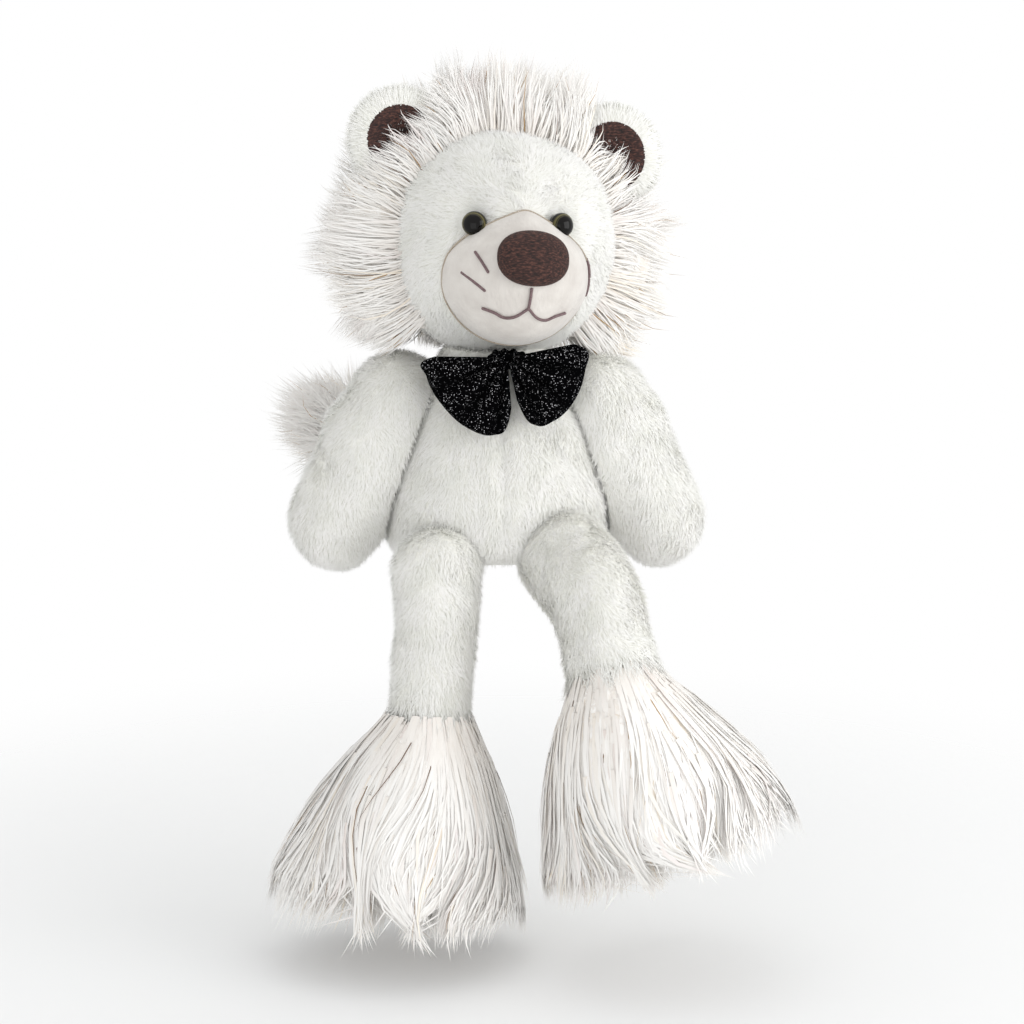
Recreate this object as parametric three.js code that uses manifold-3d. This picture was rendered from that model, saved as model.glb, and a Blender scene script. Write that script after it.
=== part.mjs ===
// A plush lion with long dangling legs, in millimetres. +Z is up and the front faces -Y.
// The origin is the middle of the flat seat under the body, and +X is the lion's left side.
import * as THREE from "three";
import { mergeVertices } from "three/addons/utils/BufferGeometryUtils.js";
import Module from "manifold-3d";

const wasm = await Module();
wasm.setup();

// Cloth, thread and clearances
const clearance = 0.3; // between neighbouring pieces
const plush = 2.2; // short plush pressed flat, with its backing
const velboa = 1.4; // short velvety cloth of the muzzle
const threadRadius = 0.6;
const seamHoleRadius = 8; // opening in a limb's skin where it is sewn on and stuffed
const neckHoleRadius = 16;
const neckRoom = 1.2; // between the body and the head, which turns and sits askew
const overrun = 3; // how far a cutting piece reaches past what it cuts

// Body, a pear that is widest near the seat
const bodyWidth = 102;
const bodyDepth = 84;
const bodyHeight = 95.4;
const closingSeamStart = 32;
const closingSeamLength = 42;

// Head, its turn and its tilt, in the body's frame
const headWidth = 102;
const headDepth = 92;
const headHeight = 98;
const headRise = 46.2; // middle of the head over the body's top
const headMiddle = new THREE.Vector3(1.5, -2, bodyHeight + headRise);
const headTurn = 8; // degrees towards the lion's left
const headTilt = 4; // degrees towards the lion's left shoulder
const headFullness = 2.3; // exponent of the head's curve, 2 is an ellipsoid

// Muzzle and nose, in the head's frame
const muzzleMiddle = new THREE.Vector3(0, -28, -13);
const muzzleWidth = 66;
const muzzleDepth = 76;
const muzzleHeight = 62;
const muzzleNarrowing = 0.75; // share of its width that the muzzle loses at its top
const noseWidth = 31;
const noseHeight = 23.5;
const noseThickness = 15;
const noseLift = 7.7; // nose above the middle of the muzzle

// Safety eyes
const eyes = { // away from and above the middle of the head; set a little unevenly, as by hand
  right: { across: 21.2, lift: 7.4 },
  left: { across: 16.7, lift: 9.3 },
};
const eyeRadius = 5.3;
const eyeDome = 4.2;
const stemRadius = 1.7;
const stemLength = 9;
const washerRadius = 6;
const washerThickness = 2;

// Stitches on the muzzle, as places across and up from the middle of the muzzle
const cleftGap = 1.8; // between the nose and the stitch under it
const lipDrop = 13.4; // where the two halves of the mouth meet
const mouthReach = 18;
const mouthSag = 4.7;
const whiskers = {
  right: {
    upper: { reach: 22.6, top: 8.6, lean: 4.6, drop: 7.8 },
    lower: { reach: 27.1, top: -0.4, lean: 8.5, drop: 6.7 },
  },
  left: {
    upper: { reach: 30.6, top: 8.6, lean: -1.4, drop: 7.8 },
    lower: { reach: 32.4, top: -0.4, lean: 0.8, drop: 6.7 },
  },
};

// Mane, a thick ruff around and behind the head
const maneRadius = 81;
const maneFront = 17; // how far its face edge lies before the middle of the head
const maneBack = 55;
const maneHem = bodyHeight + clearance; // height of its lower edge over the seat

// Ears
const earRadius = 22.5;
const earThickness = 13;
const earSpacing = 96;
const earLift = 41.5;
const liningRadius = 15.5;
const liningThickness = 2.4;

// Arms
const armRadius = 23.5;
const shoulderSpacing = 92;
const shoulderHeight = 67;
const handSpacing = 148;
const handHeight = 15;

// Legs, their paths from the hip to the ankle: the left one of the lion is lifted and bent
const hipRadius = 20.5;
const ankleRadius = 19;
const legs = {
  right: {
    hip: new THREE.Vector3(-29, -37, 0),
    knee: new THREE.Vector3(-31, -44, -32),
    ankle: new THREE.Vector3(-34, -50, -64),
    tips: new THREE.Vector3(-50, -62, -153),
    hang: new THREE.Vector3(-0.1, -0.08, -1), // way in which the foot's hair ends
  },
  left: {
    hip: new THREE.Vector3(28, -37, 3),
    knee: new THREE.Vector3(38, -61, -12),
    ankle: new THREE.Vector3(44, -77, -42),
    tips: new THREE.Vector3(69.5, -92, -123),
    hang: new THREE.Vector3(0.27, -0.2, -1),
  },
};

// Feet: a small stuffed foot inside a bell of long fur
const footFurWidth = 112;
const footFurDepth = 88;
const footWidth = 46;
const footLength = 56;
const footHeight = 42;
const footDrop = 25; // the foot's middle below the ankle
const ankleHem = 5; // the fur's upper edge below the ankle

// Tail
const tailRadius = 7;
const tailHoleRadius = 3.5;
const tailRoot = new THREE.Vector3(0, 44, 14);
const tailBend = new THREE.Vector3(-26, 60, 20);
const tailRise = new THREE.Vector3(-52, 61, 36);
const tailTip = new THREE.Vector3(-68, 57, 50);
const tuftTip = new THREE.Vector3(-113, 55, 72);
const tuftWidth = 56;
const tuftDepth = 28;

// Bow tie
const knotAcross = 2;
const knotDrop = 4.4; // below the body's top
const knotForward = 6; // before the body's front
const knotWidth = 17;
const knotDepth = 11;
const knotHeight = 9;
const knotFullness = 3;
const bowLength = 33;
const bowWidth = 42;
const bowThickness = 10;
const rightBowDroop = new THREE.Vector3(-25, -13, -21); // from the knot
const leftBowDroop = new THREE.Vector3(23, -13, -19);

// Facets
const bodySides = 24;
const headRows = 9;
const footRows = 8;
const earRows = 8;
const liningRows = 6;
const knotRows = 6;
const limbSides = 16;
const smallSides = 10;
const threadSides = 6;

const X = new THREE.Vector3(1, 0, 0);
const Y = new THREE.Vector3(0, 1, 0);
const Z = new THREE.Vector3(0, 0, 1);
const plain = 2; // exponent of a plain ellipsoid

// Closed geometry over elliptical rings, each with a middle and two half axes, with a point past each end
function loft(rings, sides, start, end) {
  const points = [];
  const faces = [];
  for (const { middle, across, along } of rings) {
    for (let i = 0; i < sides; i++) {
      const angle = (2 * Math.PI * i) / sides;
      const point = middle.clone().addScaledVector(across, Math.cos(angle));
      points.push(point.addScaledVector(along, Math.sin(angle)));
    }
  }
  const first = points.push(start ?? rings[0].middle) - 1;
  const last = points.push(end ?? rings.at(-1).middle) - 1;
  const top = (rings.length - 1) * sides;
  for (let i = 0; i < sides; i++) {
    const next = (i + 1) % sides;
    for (let row = 0; row < top; row += sides) {
      faces.push(row + i, row + next, row + sides + next);
      faces.push(row + i, row + sides + next, row + sides + i);
    }
    faces.push(first, next, i);
    faces.push(last, top + i, top + next);
  }
  const geometry = new THREE.BufferGeometry().setFromPoints(points);
  return geometry.setIndex(faces);
}

// A geometry as a solid that can be joined and cut
function solidOf(geometry) {
  const bare = geometry.clone();
  bare.deleteAttribute("normal");
  bare.deleteAttribute("uv");
  const merged = mergeVertices(bare);
  return new wasm.Manifold(
    new wasm.Mesh({
      numProp: 3,
      vertProperties: merged.attributes.position.array,
      triVerts: new Uint32Array(merged.index.array),
    }),
  );
}

// A solid as a named mesh
function meshOf(name, solid, material) {
  const { vertProperties, triVerts } = solid.getMesh();
  const geometry = new THREE.BufferGeometry();
  geometry.setAttribute("position", new THREE.BufferAttribute(vertProperties, 3));
  geometry.setIndex(new THREE.BufferAttribute(triVerts, 1));
  geometry.computeVertexNormals();
  const mesh = new THREE.Mesh(geometry, material);
  mesh.name = name;
  return mesh;
}

function placed(solid, matrix) {
  return solid.transform(matrix.elements);
}

function joined(solids) {
  return solids.reduce((all, solid) => all.add(solid));
}

// A ball that clears a faceted ball of the given radius however that one turns
function socketOf(middle, radius, sides) {
  const halfFacet = Math.cos(Math.PI / sides);
  const outer = (radius + clearance) / (halfFacet * halfFacet);
  return solidOf(new THREE.SphereGeometry(outer, sides, sides / 2).translate(middle.x, middle.y, middle.z));
}

// An ellipsoid, squarer for a fullness over 2, with its poles on Z; it can lose a share of its width
// towards its top
function ellipsoid(middle, half, fullness, sides, rows, narrowing = 0) {
  const rings = [];
  const top = Math.PI / 2;
  for (let row = 1; row < rows; row++) {
    const angle = -top + (2 * top * row) / rows;
    const width = Math.pow(Math.cos(angle), 2 / fullness);
    const height = Math.sign(angle) * Math.pow(Math.abs(Math.sin(angle)), 2 / fullness);
    rings.push({
      middle: middle.clone().addScaledVector(Z, half.z * height),
      across: X.clone().multiplyScalar(half.x * width * narrowedShare(height, narrowing)),
      along: Y.clone().multiplyScalar(half.y * width),
    });
  }
  const pole = Z.clone().multiplyScalar(half.z);
  return loft(rings, sides, middle.clone().sub(pole), middle.clone().add(pole));
}

// What is left of the width at a height, which runs from 0 in the middle to 1 at the top
function narrowedShare(height, narrowing) {
  return 1 - narrowing * Math.max(height, 0) ** 3;
}

// A stuffed tube along a curve with round ends; its radii run from the curve's start to its end
function stuffedTube(curve, radii, sides, reference) {
  const rings = [];
  const ringAt = (share, radius, push) => {
    const tangent = curve.getTangentAt(share);
    const along = tangent.clone().cross(reference).normalize();
    const across = along.clone().cross(tangent);
    const middle = curve.getPointAt(share).addScaledVector(tangent, push);
    rings.push({
      middle,
      across: across.multiplyScalar(radius),
      along: along.multiplyScalar(radius),
    });
  };
  const capAngles = [60, 30].map(THREE.MathUtils.degToRad);
  const [first, last] = [radii[0], radii.at(-1)];
  for (const angle of capAngles) {
    ringAt(0, first * Math.cos(angle), -first * Math.sin(angle));
  }
  radii.forEach((radius, i) => ringAt(i / (radii.length - 1), radius, 0));
  for (const angle of capAngles.toReversed()) {
    ringAt(1, last * Math.cos(angle), last * Math.sin(angle));
  }
  const start = curve.getPointAt(0).addScaledVector(curve.getTangentAt(0), -first);
  const end = curve.getPointAt(1).addScaledVector(curve.getTangentAt(1), last);
  return loft(rings, sides, start, end);
}

// A thread laid along points
function threadAlong(points) {
  const section = new THREE.Shape();
  section.absarc(0, 0, threadRadius, 0, 2 * Math.PI);
  const curve = new THREE.CatmullRomCurve3(points);
  return new THREE.ExtrudeGeometry(section, {
    extrudePath: curve,
    steps: 2 * points.length,
    curveSegments: threadSides / 2,
  });
}

const materials = {
  plush: new THREE.MeshStandardMaterial({ color: "#f6f3ee", roughness: 0.95 }),
  longFur: new THREE.MeshStandardMaterial({ color: "#efe3da", roughness: 0.85 }),
  filling: new THREE.MeshStandardMaterial({ color: "#fbfbf9", roughness: 1 }),
  velboa: new THREE.MeshStandardMaterial({ color: "#d9cdc7", roughness: 0.9 }),
  brownVelboa: new THREE.MeshStandardMaterial({ color: "#4a3432", roughness: 0.85 }),
  eye: new THREE.MeshStandardMaterial({ color: "#2b2417", roughness: 0.08 }),
  washer: new THREE.MeshStandardMaterial({ color: "#e6e4dc", roughness: 0.5 }),
  thread: new THREE.MeshStandardMaterial({ color: "#86706f", roughness: 0.8 }),
  whiteThread: new THREE.MeshStandardMaterial({ color: "#f1eee8", roughness: 0.8 }),
  bow: new THREE.MeshStandardMaterial({ color: "#17171a", roughness: 0.45 }),
};

// Body rings: share of the height, of the half width and half depth, and the belly's lean forward
// as a share of the depth
const bodyRingShares = [
  [0, 0.86, 0.8, 0],
  [0.05, 0.95, 0.92, 0.01],
  [0.19, 1, 1, 0.024],
  [0.4, 0.96, 0.985, 0.03],
  [0.61, 0.85, 0.88, 0.018],
  [0.79, 0.69, 0.74, 0],
  [0.92, 0.54, 0.6, 0],
  [1, 0.46, 0.53, 0],
];

// The body's shape, grown or shrunk by a length; its top can rise past the neck's edge
function bodyForm(grow, rise) {
  const rings = bodyRingShares.map(([height, width, depth, lean], i) => {
    const ends = i === 0 ? -grow : 0;
    const top = i === bodyRingShares.length - 1 ? rise : 0;
    return {
      middle: new THREE.Vector3(0, -lean * bodyDepth, height * bodyHeight + ends + top),
      across: X.clone().multiplyScalar((width * bodyWidth) / 2 + grow),
      along: Y.clone().multiplyScalar((depth * bodyDepth) / 2 + grow),
    };
  });
  return solidOf(loft(rings, bodySides));
}

const headHalf = new THREE.Vector3(headWidth, headDepth, headHeight).divideScalar(2);
const muzzleHalf = new THREE.Vector3(muzzleWidth, muzzleDepth, muzzleHeight).divideScalar(2);
const centre = new THREE.Vector3();

function headForm(grow) {
  const half = headHalf.clone().addScalar(grow);
  return solidOf(ellipsoid(centre, half, headFullness, bodySides, headRows));
}

function muzzleForm(grow) {
  const half = muzzleHalf.clone().addScalar(grow);
  return solidOf(ellipsoid(muzzleMiddle, half, plain, bodySides, headRows, muzzleNarrowing));
}

// Where the head turns on the neck, and how its own frame lies in the body's
const headFrame = new THREE.Matrix4()
  .makeRotationZ(THREE.MathUtils.degToRad(headTurn))
  .multiply(new THREE.Matrix4().makeRotationY(THREE.MathUtils.degToRad(headTilt)))
  .setPosition(headMiddle);

// The neck's hollow clears the head at every turn, so it is as wide as the head's widest side
function neckHollow() {
  const wide = headHalf.clone().setY(headHalf.x).addScalar(neckRoom);
  const hollow = solidOf(ellipsoid(centre, wide, headFullness, bodySides, headRows));
  return placed(hollow, new THREE.Matrix4().setPosition(headMiddle));
}

// Arms
function shoulderOf(side) {
  return new THREE.Vector3((side * shoulderSpacing) / 2, 0, shoulderHeight);
}

const armRadiusShares = [1.08, 1.14, 1.12, 1.07, 1.02, 0.98];

// One arm grown by a length: a ball in the shoulder, and the rest cut flat where the body's flank lies
function armForm(side, grow) {
  const shoulder = shoulderOf(side);
  const hand = new THREE.Vector3((side * handSpacing) / 2, 0, handHeight);
  const curve = new THREE.LineCurve3(shoulder, hand);
  const radii = armRadiusShares.map((share) => share * armRadius + grow);
  const arm = solidOf(stuffedTube(curve, radii, limbSides, X));
  const ball = solidOf(
    new THREE.SphereGeometry(armRadius + grow, limbSides, limbSides / 2).translate(...shoulder),
  );
  const flank = bodyWidth / 2 + clearance - grow;
  const reach = armRadius + shoulderHeight + bodyHeight;
  const inside = new THREE.BoxGeometry(2 * flank, reach, 2 * reach);
  return arm.subtract(solidOf(inside).subtract(ball));
}

// Legs
function legCurve({ hip, knee, ankle }) {
  return new THREE.CatmullRomCurve3([hip, knee, ankle]);
}

const legSwellShares = [0, 0.3, 0.6, 0.9, 1];

function legForm(leg, grow) {
  const radii = legSwellShares.map((share) => THREE.MathUtils.lerp(hipRadius, ankleRadius, share) + grow);
  return solidOf(stuffedTube(legCurve(leg), radii, limbSides, X));
}

// Feet
function footMiddle(leg) {
  const hang = leg.tips.clone().sub(leg.ankle).normalize();
  return leg.ankle.clone().addScaledVector(hang, footDrop);
}

function footForm(leg, grow) {
  const half = new THREE.Vector3(footWidth, footLength, footHeight).divideScalar(2).addScalar(grow);
  return solidOf(ellipsoid(footMiddle(leg), half, plain, limbSides, footRows));
}

// Foot fur rings: share of the way from the ankle to the tips, and of the bell's half width
const bellRingShares = [
  [0, 0],
  [0.12, 0.24],
  [0.3, 0.5],
  [0.52, 0.75],
  [0.75, 0.93],
  [0.92, 1],
  [1, 0.94],
];

const bellBendShare = 0.33; // of its length, how far the bell keeps each of its ends' directions

function footFurForm(leg) {
  const from = legCurve(leg).getTangentAt(1);
  const start = leg.ankle.clone().addScaledVector(from, ankleHem);
  const reach = bellBendShare * leg.tips.distanceTo(leg.ankle);
  const path = new THREE.CubicBezierCurve3(
    start,
    start.clone().addScaledVector(from, reach),
    leg.tips.clone().addScaledVector(leg.hang.clone().normalize(), -reach),
    leg.tips,
  );
  const neck = ankleRadius + plush + clearance;
  const rings = bellRingShares.map(([way, swell]) => {
    const tangent = path.getTangent(way);
    const along = tangent.clone().cross(X).normalize();
    const across = along.clone().cross(tangent);
    return {
      middle: path.getPoint(way),
      across: across.multiplyScalar(THREE.MathUtils.lerp(neck, footFurWidth / 2, swell)),
      along: along.multiplyScalar(THREE.MathUtils.lerp(neck, footFurDepth / 2, swell)),
    };
  });
  return solidOf(loft(rings, limbSides));
}

// Tail
const tailCurve = new THREE.CatmullRomCurve3([tailRoot, tailBend, tailRise, tailTip]);
const tailRadiusShares = [1, 1, 0.96, 0.92, 0.88, 0.86, 0.84];

function tailForm(grow) {
  const radii = tailRadiusShares.map((share) => share * tailRadius + grow);
  return solidOf(stuffedTube(tailCurve, radii, smallSides, Z));
}

// Everything that is let into the body
function bodyHollows() {
  const shoulders = [-1, 1].map((side) => socketOf(shoulderOf(side), armRadius, limbSides));
  const hips = Object.values(legs).map(({ hip }) => socketOf(hip, hipRadius, limbSides));
  const tail = socketOf(tailRoot, tailRadius, smallSides);
  return joined([neckHollow(), tail, ...shoulders, ...hips]);
}

function makeBody() {
  const hollows = bodyHollows();
  const skin = bodyForm(0, 0).subtract(bodyForm(-plush, overrun)).subtract(hollows);
  const filling = bodyForm(-plush - clearance, 0).subtract(hollows);
  return [
    meshOf("body_skin", skin, materials.plush),
    meshOf("body_filling", filling, materials.filling),
    makeClosingSeam(),
  ];
}

// The ladder stitch that closes the back, laid up the middle of the body's back
function makeClosingSeam() {
  const steps = 6;
  const points = [];
  for (let i = 0; i <= steps; i++) {
    const height = closingSeamStart + (closingSeamLength * i) / steps;
    points.push(new THREE.Vector3(0, backAt(height) + threadRadius + clearance, height));
  }
  return meshOf("closing_seam", solidOf(threadAlong(points)), materials.whiteThread);
}

// How far back the body's skin lies at a height, on the straight line between its rings
function sideOfBody(height, direction) {
  const upper = bodyRingShares.findIndex(([share]) => share * bodyHeight >= height);
  const [low, high] = [bodyRingShares[upper - 1], bodyRingShares[upper]];
  const depthOf = ([, , depth, lean]) => (direction * depth * bodyDepth) / 2 - lean * bodyDepth;
  const way = (height / bodyHeight - low[0]) / (high[0] - low[0]);
  return THREE.MathUtils.lerp(depthOf(low), depthOf(high), way);
}

function backAt(height) {
  return sideOfBody(height, 1);
}

function makeArm(name, side) {
  const away = shoulderOf(side).addScaledVector(X, -side * armRadius);
  const hole = new THREE.CylinderGeometry(seamHoleRadius, seamHoleRadius, armRadius, smallSides);
  const opening = solidOf(hole.rotateZ(Math.PI / 2).translate(...away));
  const skin = armForm(side, 0).subtract(armForm(side, -plush)).subtract(opening);
  return [
    meshOf(`arm_skin_${name}`, skin, materials.plush),
    meshOf(`arm_filling_${name}`, armForm(side, -plush - clearance), materials.filling),
  ];
}

function makeLeg(name, leg) {
  const start = legCurve(leg).getTangentAt(0);
  const hole = new THREE.CylinderGeometry(seamHoleRadius, seamHoleRadius, hipRadius, smallSides);
  const facing = new THREE.Quaternion().setFromUnitVectors(Y, start);
  const away = leg.hip.clone().addScaledVector(start, -hipRadius);
  const opening = solidOf(hole.applyQuaternion(facing).translate(...away));
  const skin = legForm(leg, 0).subtract(legForm(leg, -plush)).subtract(opening);
  const ankle = socketOf(leg.ankle, ankleRadius, limbSides);
  const foot = footForm(leg, 0).subtract(ankle);
  const fur = footFurForm(leg).subtract(footForm(leg, clearance)).subtract(ankle);
  return [
    meshOf(`leg_skin_${name}`, skin, materials.plush),
    meshOf(`leg_filling_${name}`, legForm(leg, -plush - clearance), materials.filling),
    meshOf(`foot_filling_${name}`, foot, materials.filling),
    meshOf(`foot_fur_${name}`, fur, materials.longFur),
  ];
}

// The tuft on the tail's end, flat from front to back
function tuftForm() {
  const line = tuftTip.clone().sub(tailTip);
  const widthShares = [0.45, 0.82, 1, 0.95, 0.72, 0.4];
  const direction = line.clone().normalize();
  const along = direction.clone().cross(Y).normalize();
  const across = along.clone().cross(direction);
  const rings = widthShares.map((share, i) => ({
    middle: tailTip.clone().addScaledVector(line, i / widthShares.length),
    across: across.clone().multiplyScalar((share * tuftDepth) / 2),
    along: along.clone().multiplyScalar((share * tuftWidth) / 2),
  }));
  return solidOf(loft(rings, limbSides, undefined, tuftTip));
}

function makeTail() {
  const skin = tailForm(0).subtract(tailForm(-plush));
  const hole = new THREE.CylinderGeometry(tailHoleRadius, tailHoleRadius, 2 * tailRadius, smallSides);
  const start = tailCurve.getTangentAt(0);
  const facing = new THREE.Quaternion().setFromUnitVectors(Y, start);
  const away = tailRoot.clone().addScaledVector(start, -tailRadius);
  const opening = solidOf(hole.applyQuaternion(facing).translate(...away));
  return [
    meshOf("tail_skin", skin.subtract(opening), materials.plush),
    meshOf("tail_filling", tailForm(-plush - clearance), materials.filling),
    meshOf("tail_tuft", tuftForm().subtract(tailForm(clearance)), materials.longFur),
  ];
}

// A point on the head's skin and the way that the skin faces there
function onHead(x, z) {
  const width = Math.pow(1 - Math.pow(Math.abs(z) / headHalf.z, headFullness), 1 / headFullness);
  const y = -headHalf.y * Math.sqrt(width * width - (x / headHalf.x) ** 2);
  const out = new THREE.Vector3(x / headHalf.x ** 2, y / headHalf.y ** 2, z / headHalf.z ** 2);
  return { point: new THREE.Vector3(x, y, z), out: out.normalize() };
}

// The frame of one eye, with its +Z out of the head
function eyeFrame(side) {
  const { across, lift } = side < 0 ? eyes.right : eyes.left;
  const { point, out } = onHead(side * across, lift);
  const facing = new THREE.Quaternion().setFromUnitVectors(Z, out);
  return new THREE.Matrix4().compose(point, facing, new THREE.Vector3(1, 1, 1));
}

function discAt(radius, from, to) {
  const disc = new THREE.CylinderGeometry(radius, radius, to - from, smallSides);
  return solidOf(disc.rotateX(Math.PI / 2).translate(0, 0, (from + to) / 2));
}

const eyeSeat = 1.7; // how far the rounded skin falls away behind the flat back of the eye
const washerTop = -plush - clearance - eyeSeat;

function eyeForm() {
  const dome = [];
  const steps = 5;
  for (let i = 0; i <= steps; i++) {
    const angle = (Math.PI / 2) * (1 - i / steps);
    dome.push(new THREE.Vector2(eyeRadius * Math.cos(angle), clearance + eyeDome * Math.sin(angle)));
  }
  dome.push(new THREE.Vector2(stemRadius, clearance));
  dome.push(new THREE.Vector2(stemRadius, clearance - stemLength));
  dome.push(new THREE.Vector2(0, clearance - stemLength));
  const lathe = new THREE.LatheGeometry(dome.toReversed(), limbSides);
  return solidOf(lathe.rotateX(Math.PI / 2));
}

function washerForm() {
  const disc = discAt(washerRadius, washerTop - washerThickness, washerTop);
  return disc.subtract(discAt(stemRadius + clearance, washerTop - overrun, washerTop + overrun));
}

function makeEyes(cuts) {
  return [-1, 1].flatMap((side) => {
    const frame = eyeFrame(side);
    const name = side < 0 ? "right" : "left";
    const depth = -stemLength - washerThickness;
    cuts.skin.push(placed(discAt(stemRadius + clearance, depth, overrun), frame));
    cuts.filling.push(placed(discAt(stemRadius + clearance, depth, overrun), frame));
    const pocket = discAt(washerRadius + clearance, washerTop - washerThickness - clearance, overrun);
    cuts.filling.push(placed(pocket, frame));
    return [
      meshOf(`eye_${name}`, placed(eyeForm(), frame), materials.eye),
      meshOf(`eye_washer_${name}`, placed(washerForm(), frame), materials.washer),
    ];
  });
}

// The space that the two eyes take over the head's skin
function eyeSpaces() {
  const space = discAt(eyeRadius + clearance, -eyeSeat, eyeDome + overrun);
  return joined([-1, 1].map((side) => placed(space, eyeFrame(side))));
}

function makeMuzzle() {
  const around = headForm(clearance).add(eyeSpaces());
  const skin = muzzleForm(0).subtract(muzzleForm(-velboa)).subtract(around);
  const filling = muzzleForm(-velboa - clearance).subtract(around);
  return [
    meshOf("muzzle_skin", skin, materials.velboa),
    meshOf("muzzle_filling", filling, materials.filling),
    makeNose(),
    makeMouth(),
    ...makeWhiskers(),
  ];
}

// A point over the muzzle's skin, across and up from the muzzle's middle, lifted off by a length
function onMuzzle(across, up, lift) {
  const half = muzzleHalf.clone().addScalar(lift);
  const halfWidth = half.x * narrowedShare(up / half.z, muzzleNarrowing);
  const depth = half.y * Math.sqrt(1 - (across / halfWidth) ** 2 - (up / half.z) ** 2);
  return muzzleMiddle.clone().add(new THREE.Vector3(across, -depth, up));
}

function makeNose() {
  const half = new THREE.Vector3(noseWidth, noseThickness, noseHeight).divideScalar(2);
  const nose = ellipsoid(centre, half, plain, limbSides, headRows);
  const seat = onMuzzle(0, noseLift, 0);
  const slope = Math.atan2(noseLift, muzzleHalf.z);
  nose.rotateX(-slope).translate(...seat);
  return meshOf("nose", solidOf(nose).subtract(muzzleForm(clearance)), materials.brownVelboa);
}

const threadLift = threadRadius + clearance;

// A stitch on the muzzle through places across and up from its middle
function stitchThrough(places) {
  return solidOf(threadAlong(places.map(([across, up]) => onMuzzle(across, up, threadLift))));
}

// The smile from its middle to a corner: share of the reach across, and of the sag down
const smileShares = [
  [0, 0],
  [0.25, 0.8],
  [0.5, 1],
  [0.75, 0.6],
  [1, 0.3],
];

// The stitch under the nose and the two arcs of the smile, one thread
function makeMouth() {
  const top = noseLift - noseHeight / 2 - cleftGap;
  const cleft = stitchThrough([
    [0, top],
    [0, (top - lipDrop) / 2],
    [0, -lipDrop],
  ]);
  const arcs = [-1, 1].map((side) =>
    stitchThrough(smileShares.map(([way, sag]) => [side * way * mouthReach, -lipDrop - sag * mouthSag])),
  );
  return meshOf("mouth_stitch", joined([cleft, ...arcs]), materials.thread);
}

// Two slanted whisker stitches on each cheek; the left ones are sewn further round it
function makeWhiskers() {
  const steps = 3;
  const ways = Array.from({ length: steps + 1 }, (_, i) => i / steps);
  return Object.entries(whiskers).flatMap(([name, rows]) => {
    const side = name === "right" ? -1 : 1;
    return Object.entries(rows).map(([row, { reach, top, lean, drop }]) => {
      const thread = stitchThrough(ways.map((way) => [side * (reach - way * lean), top - way * drop]));
      return meshOf(`whisker_${row}_${name}`, thread, materials.thread);
    });
  });
}

// Ears: a round padded disc that the head's curve is cut out of, with a lining on its front
function earMiddle(side) {
  return new THREE.Vector3((side * earSpacing) / 2, 0, earLift);
}

function makeEars() {
  const half = new THREE.Vector3(earRadius, earThickness / 2, earRadius);
  const liningHalf = new THREE.Vector3(liningRadius, liningThickness, liningRadius);
  const head = headForm(clearance);
  return [-1, 1].flatMap((side) => {
    const middle = earMiddle(side);
    const name = side < 0 ? "right" : "left";
    const earForm = (grow) => {
      return solidOf(ellipsoid(middle, half.clone().addScalar(grow), plain, limbSides, earRows));
    };
    const front = middle.clone().addScaledVector(Y, -earThickness / 2);
    const disc = solidOf(ellipsoid(front, liningHalf, plain, limbSides, liningRows));
    const lining = disc.subtract(earForm(clearance)).subtract(head);
    return [
      meshOf(`ear_${name}`, earForm(0).subtract(head), materials.plush),
      meshOf(`ear_lining_${name}`, lining, materials.brownVelboa),
    ];
  });
}

// Mane rings, from its face edge round to its back: share of the radius and place between front and back
const maneRingShares = [
  [0.6, -1],
  [0.98, -0.35],
  [1, 0],
  [0.96, 0.3],
  [0.82, 0.66],
  [0.52, 0.92],
];

function makeMane() {
  const depthAt = (place) => place * (place < 0 ? maneFront : maneBack);
  const rings = maneRingShares.map(([swell, place]) => ({
    middle: new THREE.Vector3(0, depthAt(place), 0),
    across: Z.clone().multiplyScalar(swell * maneRadius),
    along: X.clone().multiplyScalar(swell * maneRadius),
  }));
  const ruff = solidOf(loft(rings, bodySides, undefined, new THREE.Vector3(0, maneBack, 0)));
  const notches = [-1, 1].map((side) => {
    const length = earThickness + 2 * maneFront;
    const middle = earMiddle(side).addScaledVector(Y, earThickness / 2 + clearance - length / 2);
    const radius = earRadius + clearance;
    return solidOf(new THREE.CylinderGeometry(radius, radius, length, limbSides).translate(...middle));
  });
  const below = new THREE.BoxGeometry(4 * maneRadius, 4 * maneRadius, 2 * maneHem);
  const hem = placed(solidOf(below), headFrame.clone().invert());
  const spaces = joined([headForm(clearance), hem, ...notches]);
  return meshOf("mane", ruff.subtract(spaces), materials.longFur);
}

function makeHead() {
  const group = new THREE.Group();
  group.applyMatrix4(headFrame);
  const cuts = { skin: [], filling: [] };
  const eyePieces = makeEyes(cuts);
  const neck = new THREE.CylinderGeometry(neckHoleRadius, neckHoleRadius, headHeight, limbSides);
  const opening = solidOf(neck.rotateX(Math.PI / 2).translate(0, 0, -headHeight));
  const skin = headForm(0).subtract(headForm(-plush)).subtract(opening);
  const filling = headForm(-plush - clearance);
  group.add(
    meshOf("head_skin", skin.subtract(joined(cuts.skin)), materials.plush),
    meshOf("head_filling", filling.subtract(joined(cuts.filling)), materials.filling),
    makeMane(),
    ...eyePieces,
    ...makeMuzzle(),
    ...makeEars(),
  );
  return group;
}

// Bow loop rings: share of the loop's length, of its half width and of its half thickness
const bowRingShares = [
  [0, 0.2, 0.4],
  [0.25, 0.5, 0.75],
  [0.5, 0.8, 1],
  [0.75, 1, 1],
  [0.92, 0.84, 0.8],
];

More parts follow.
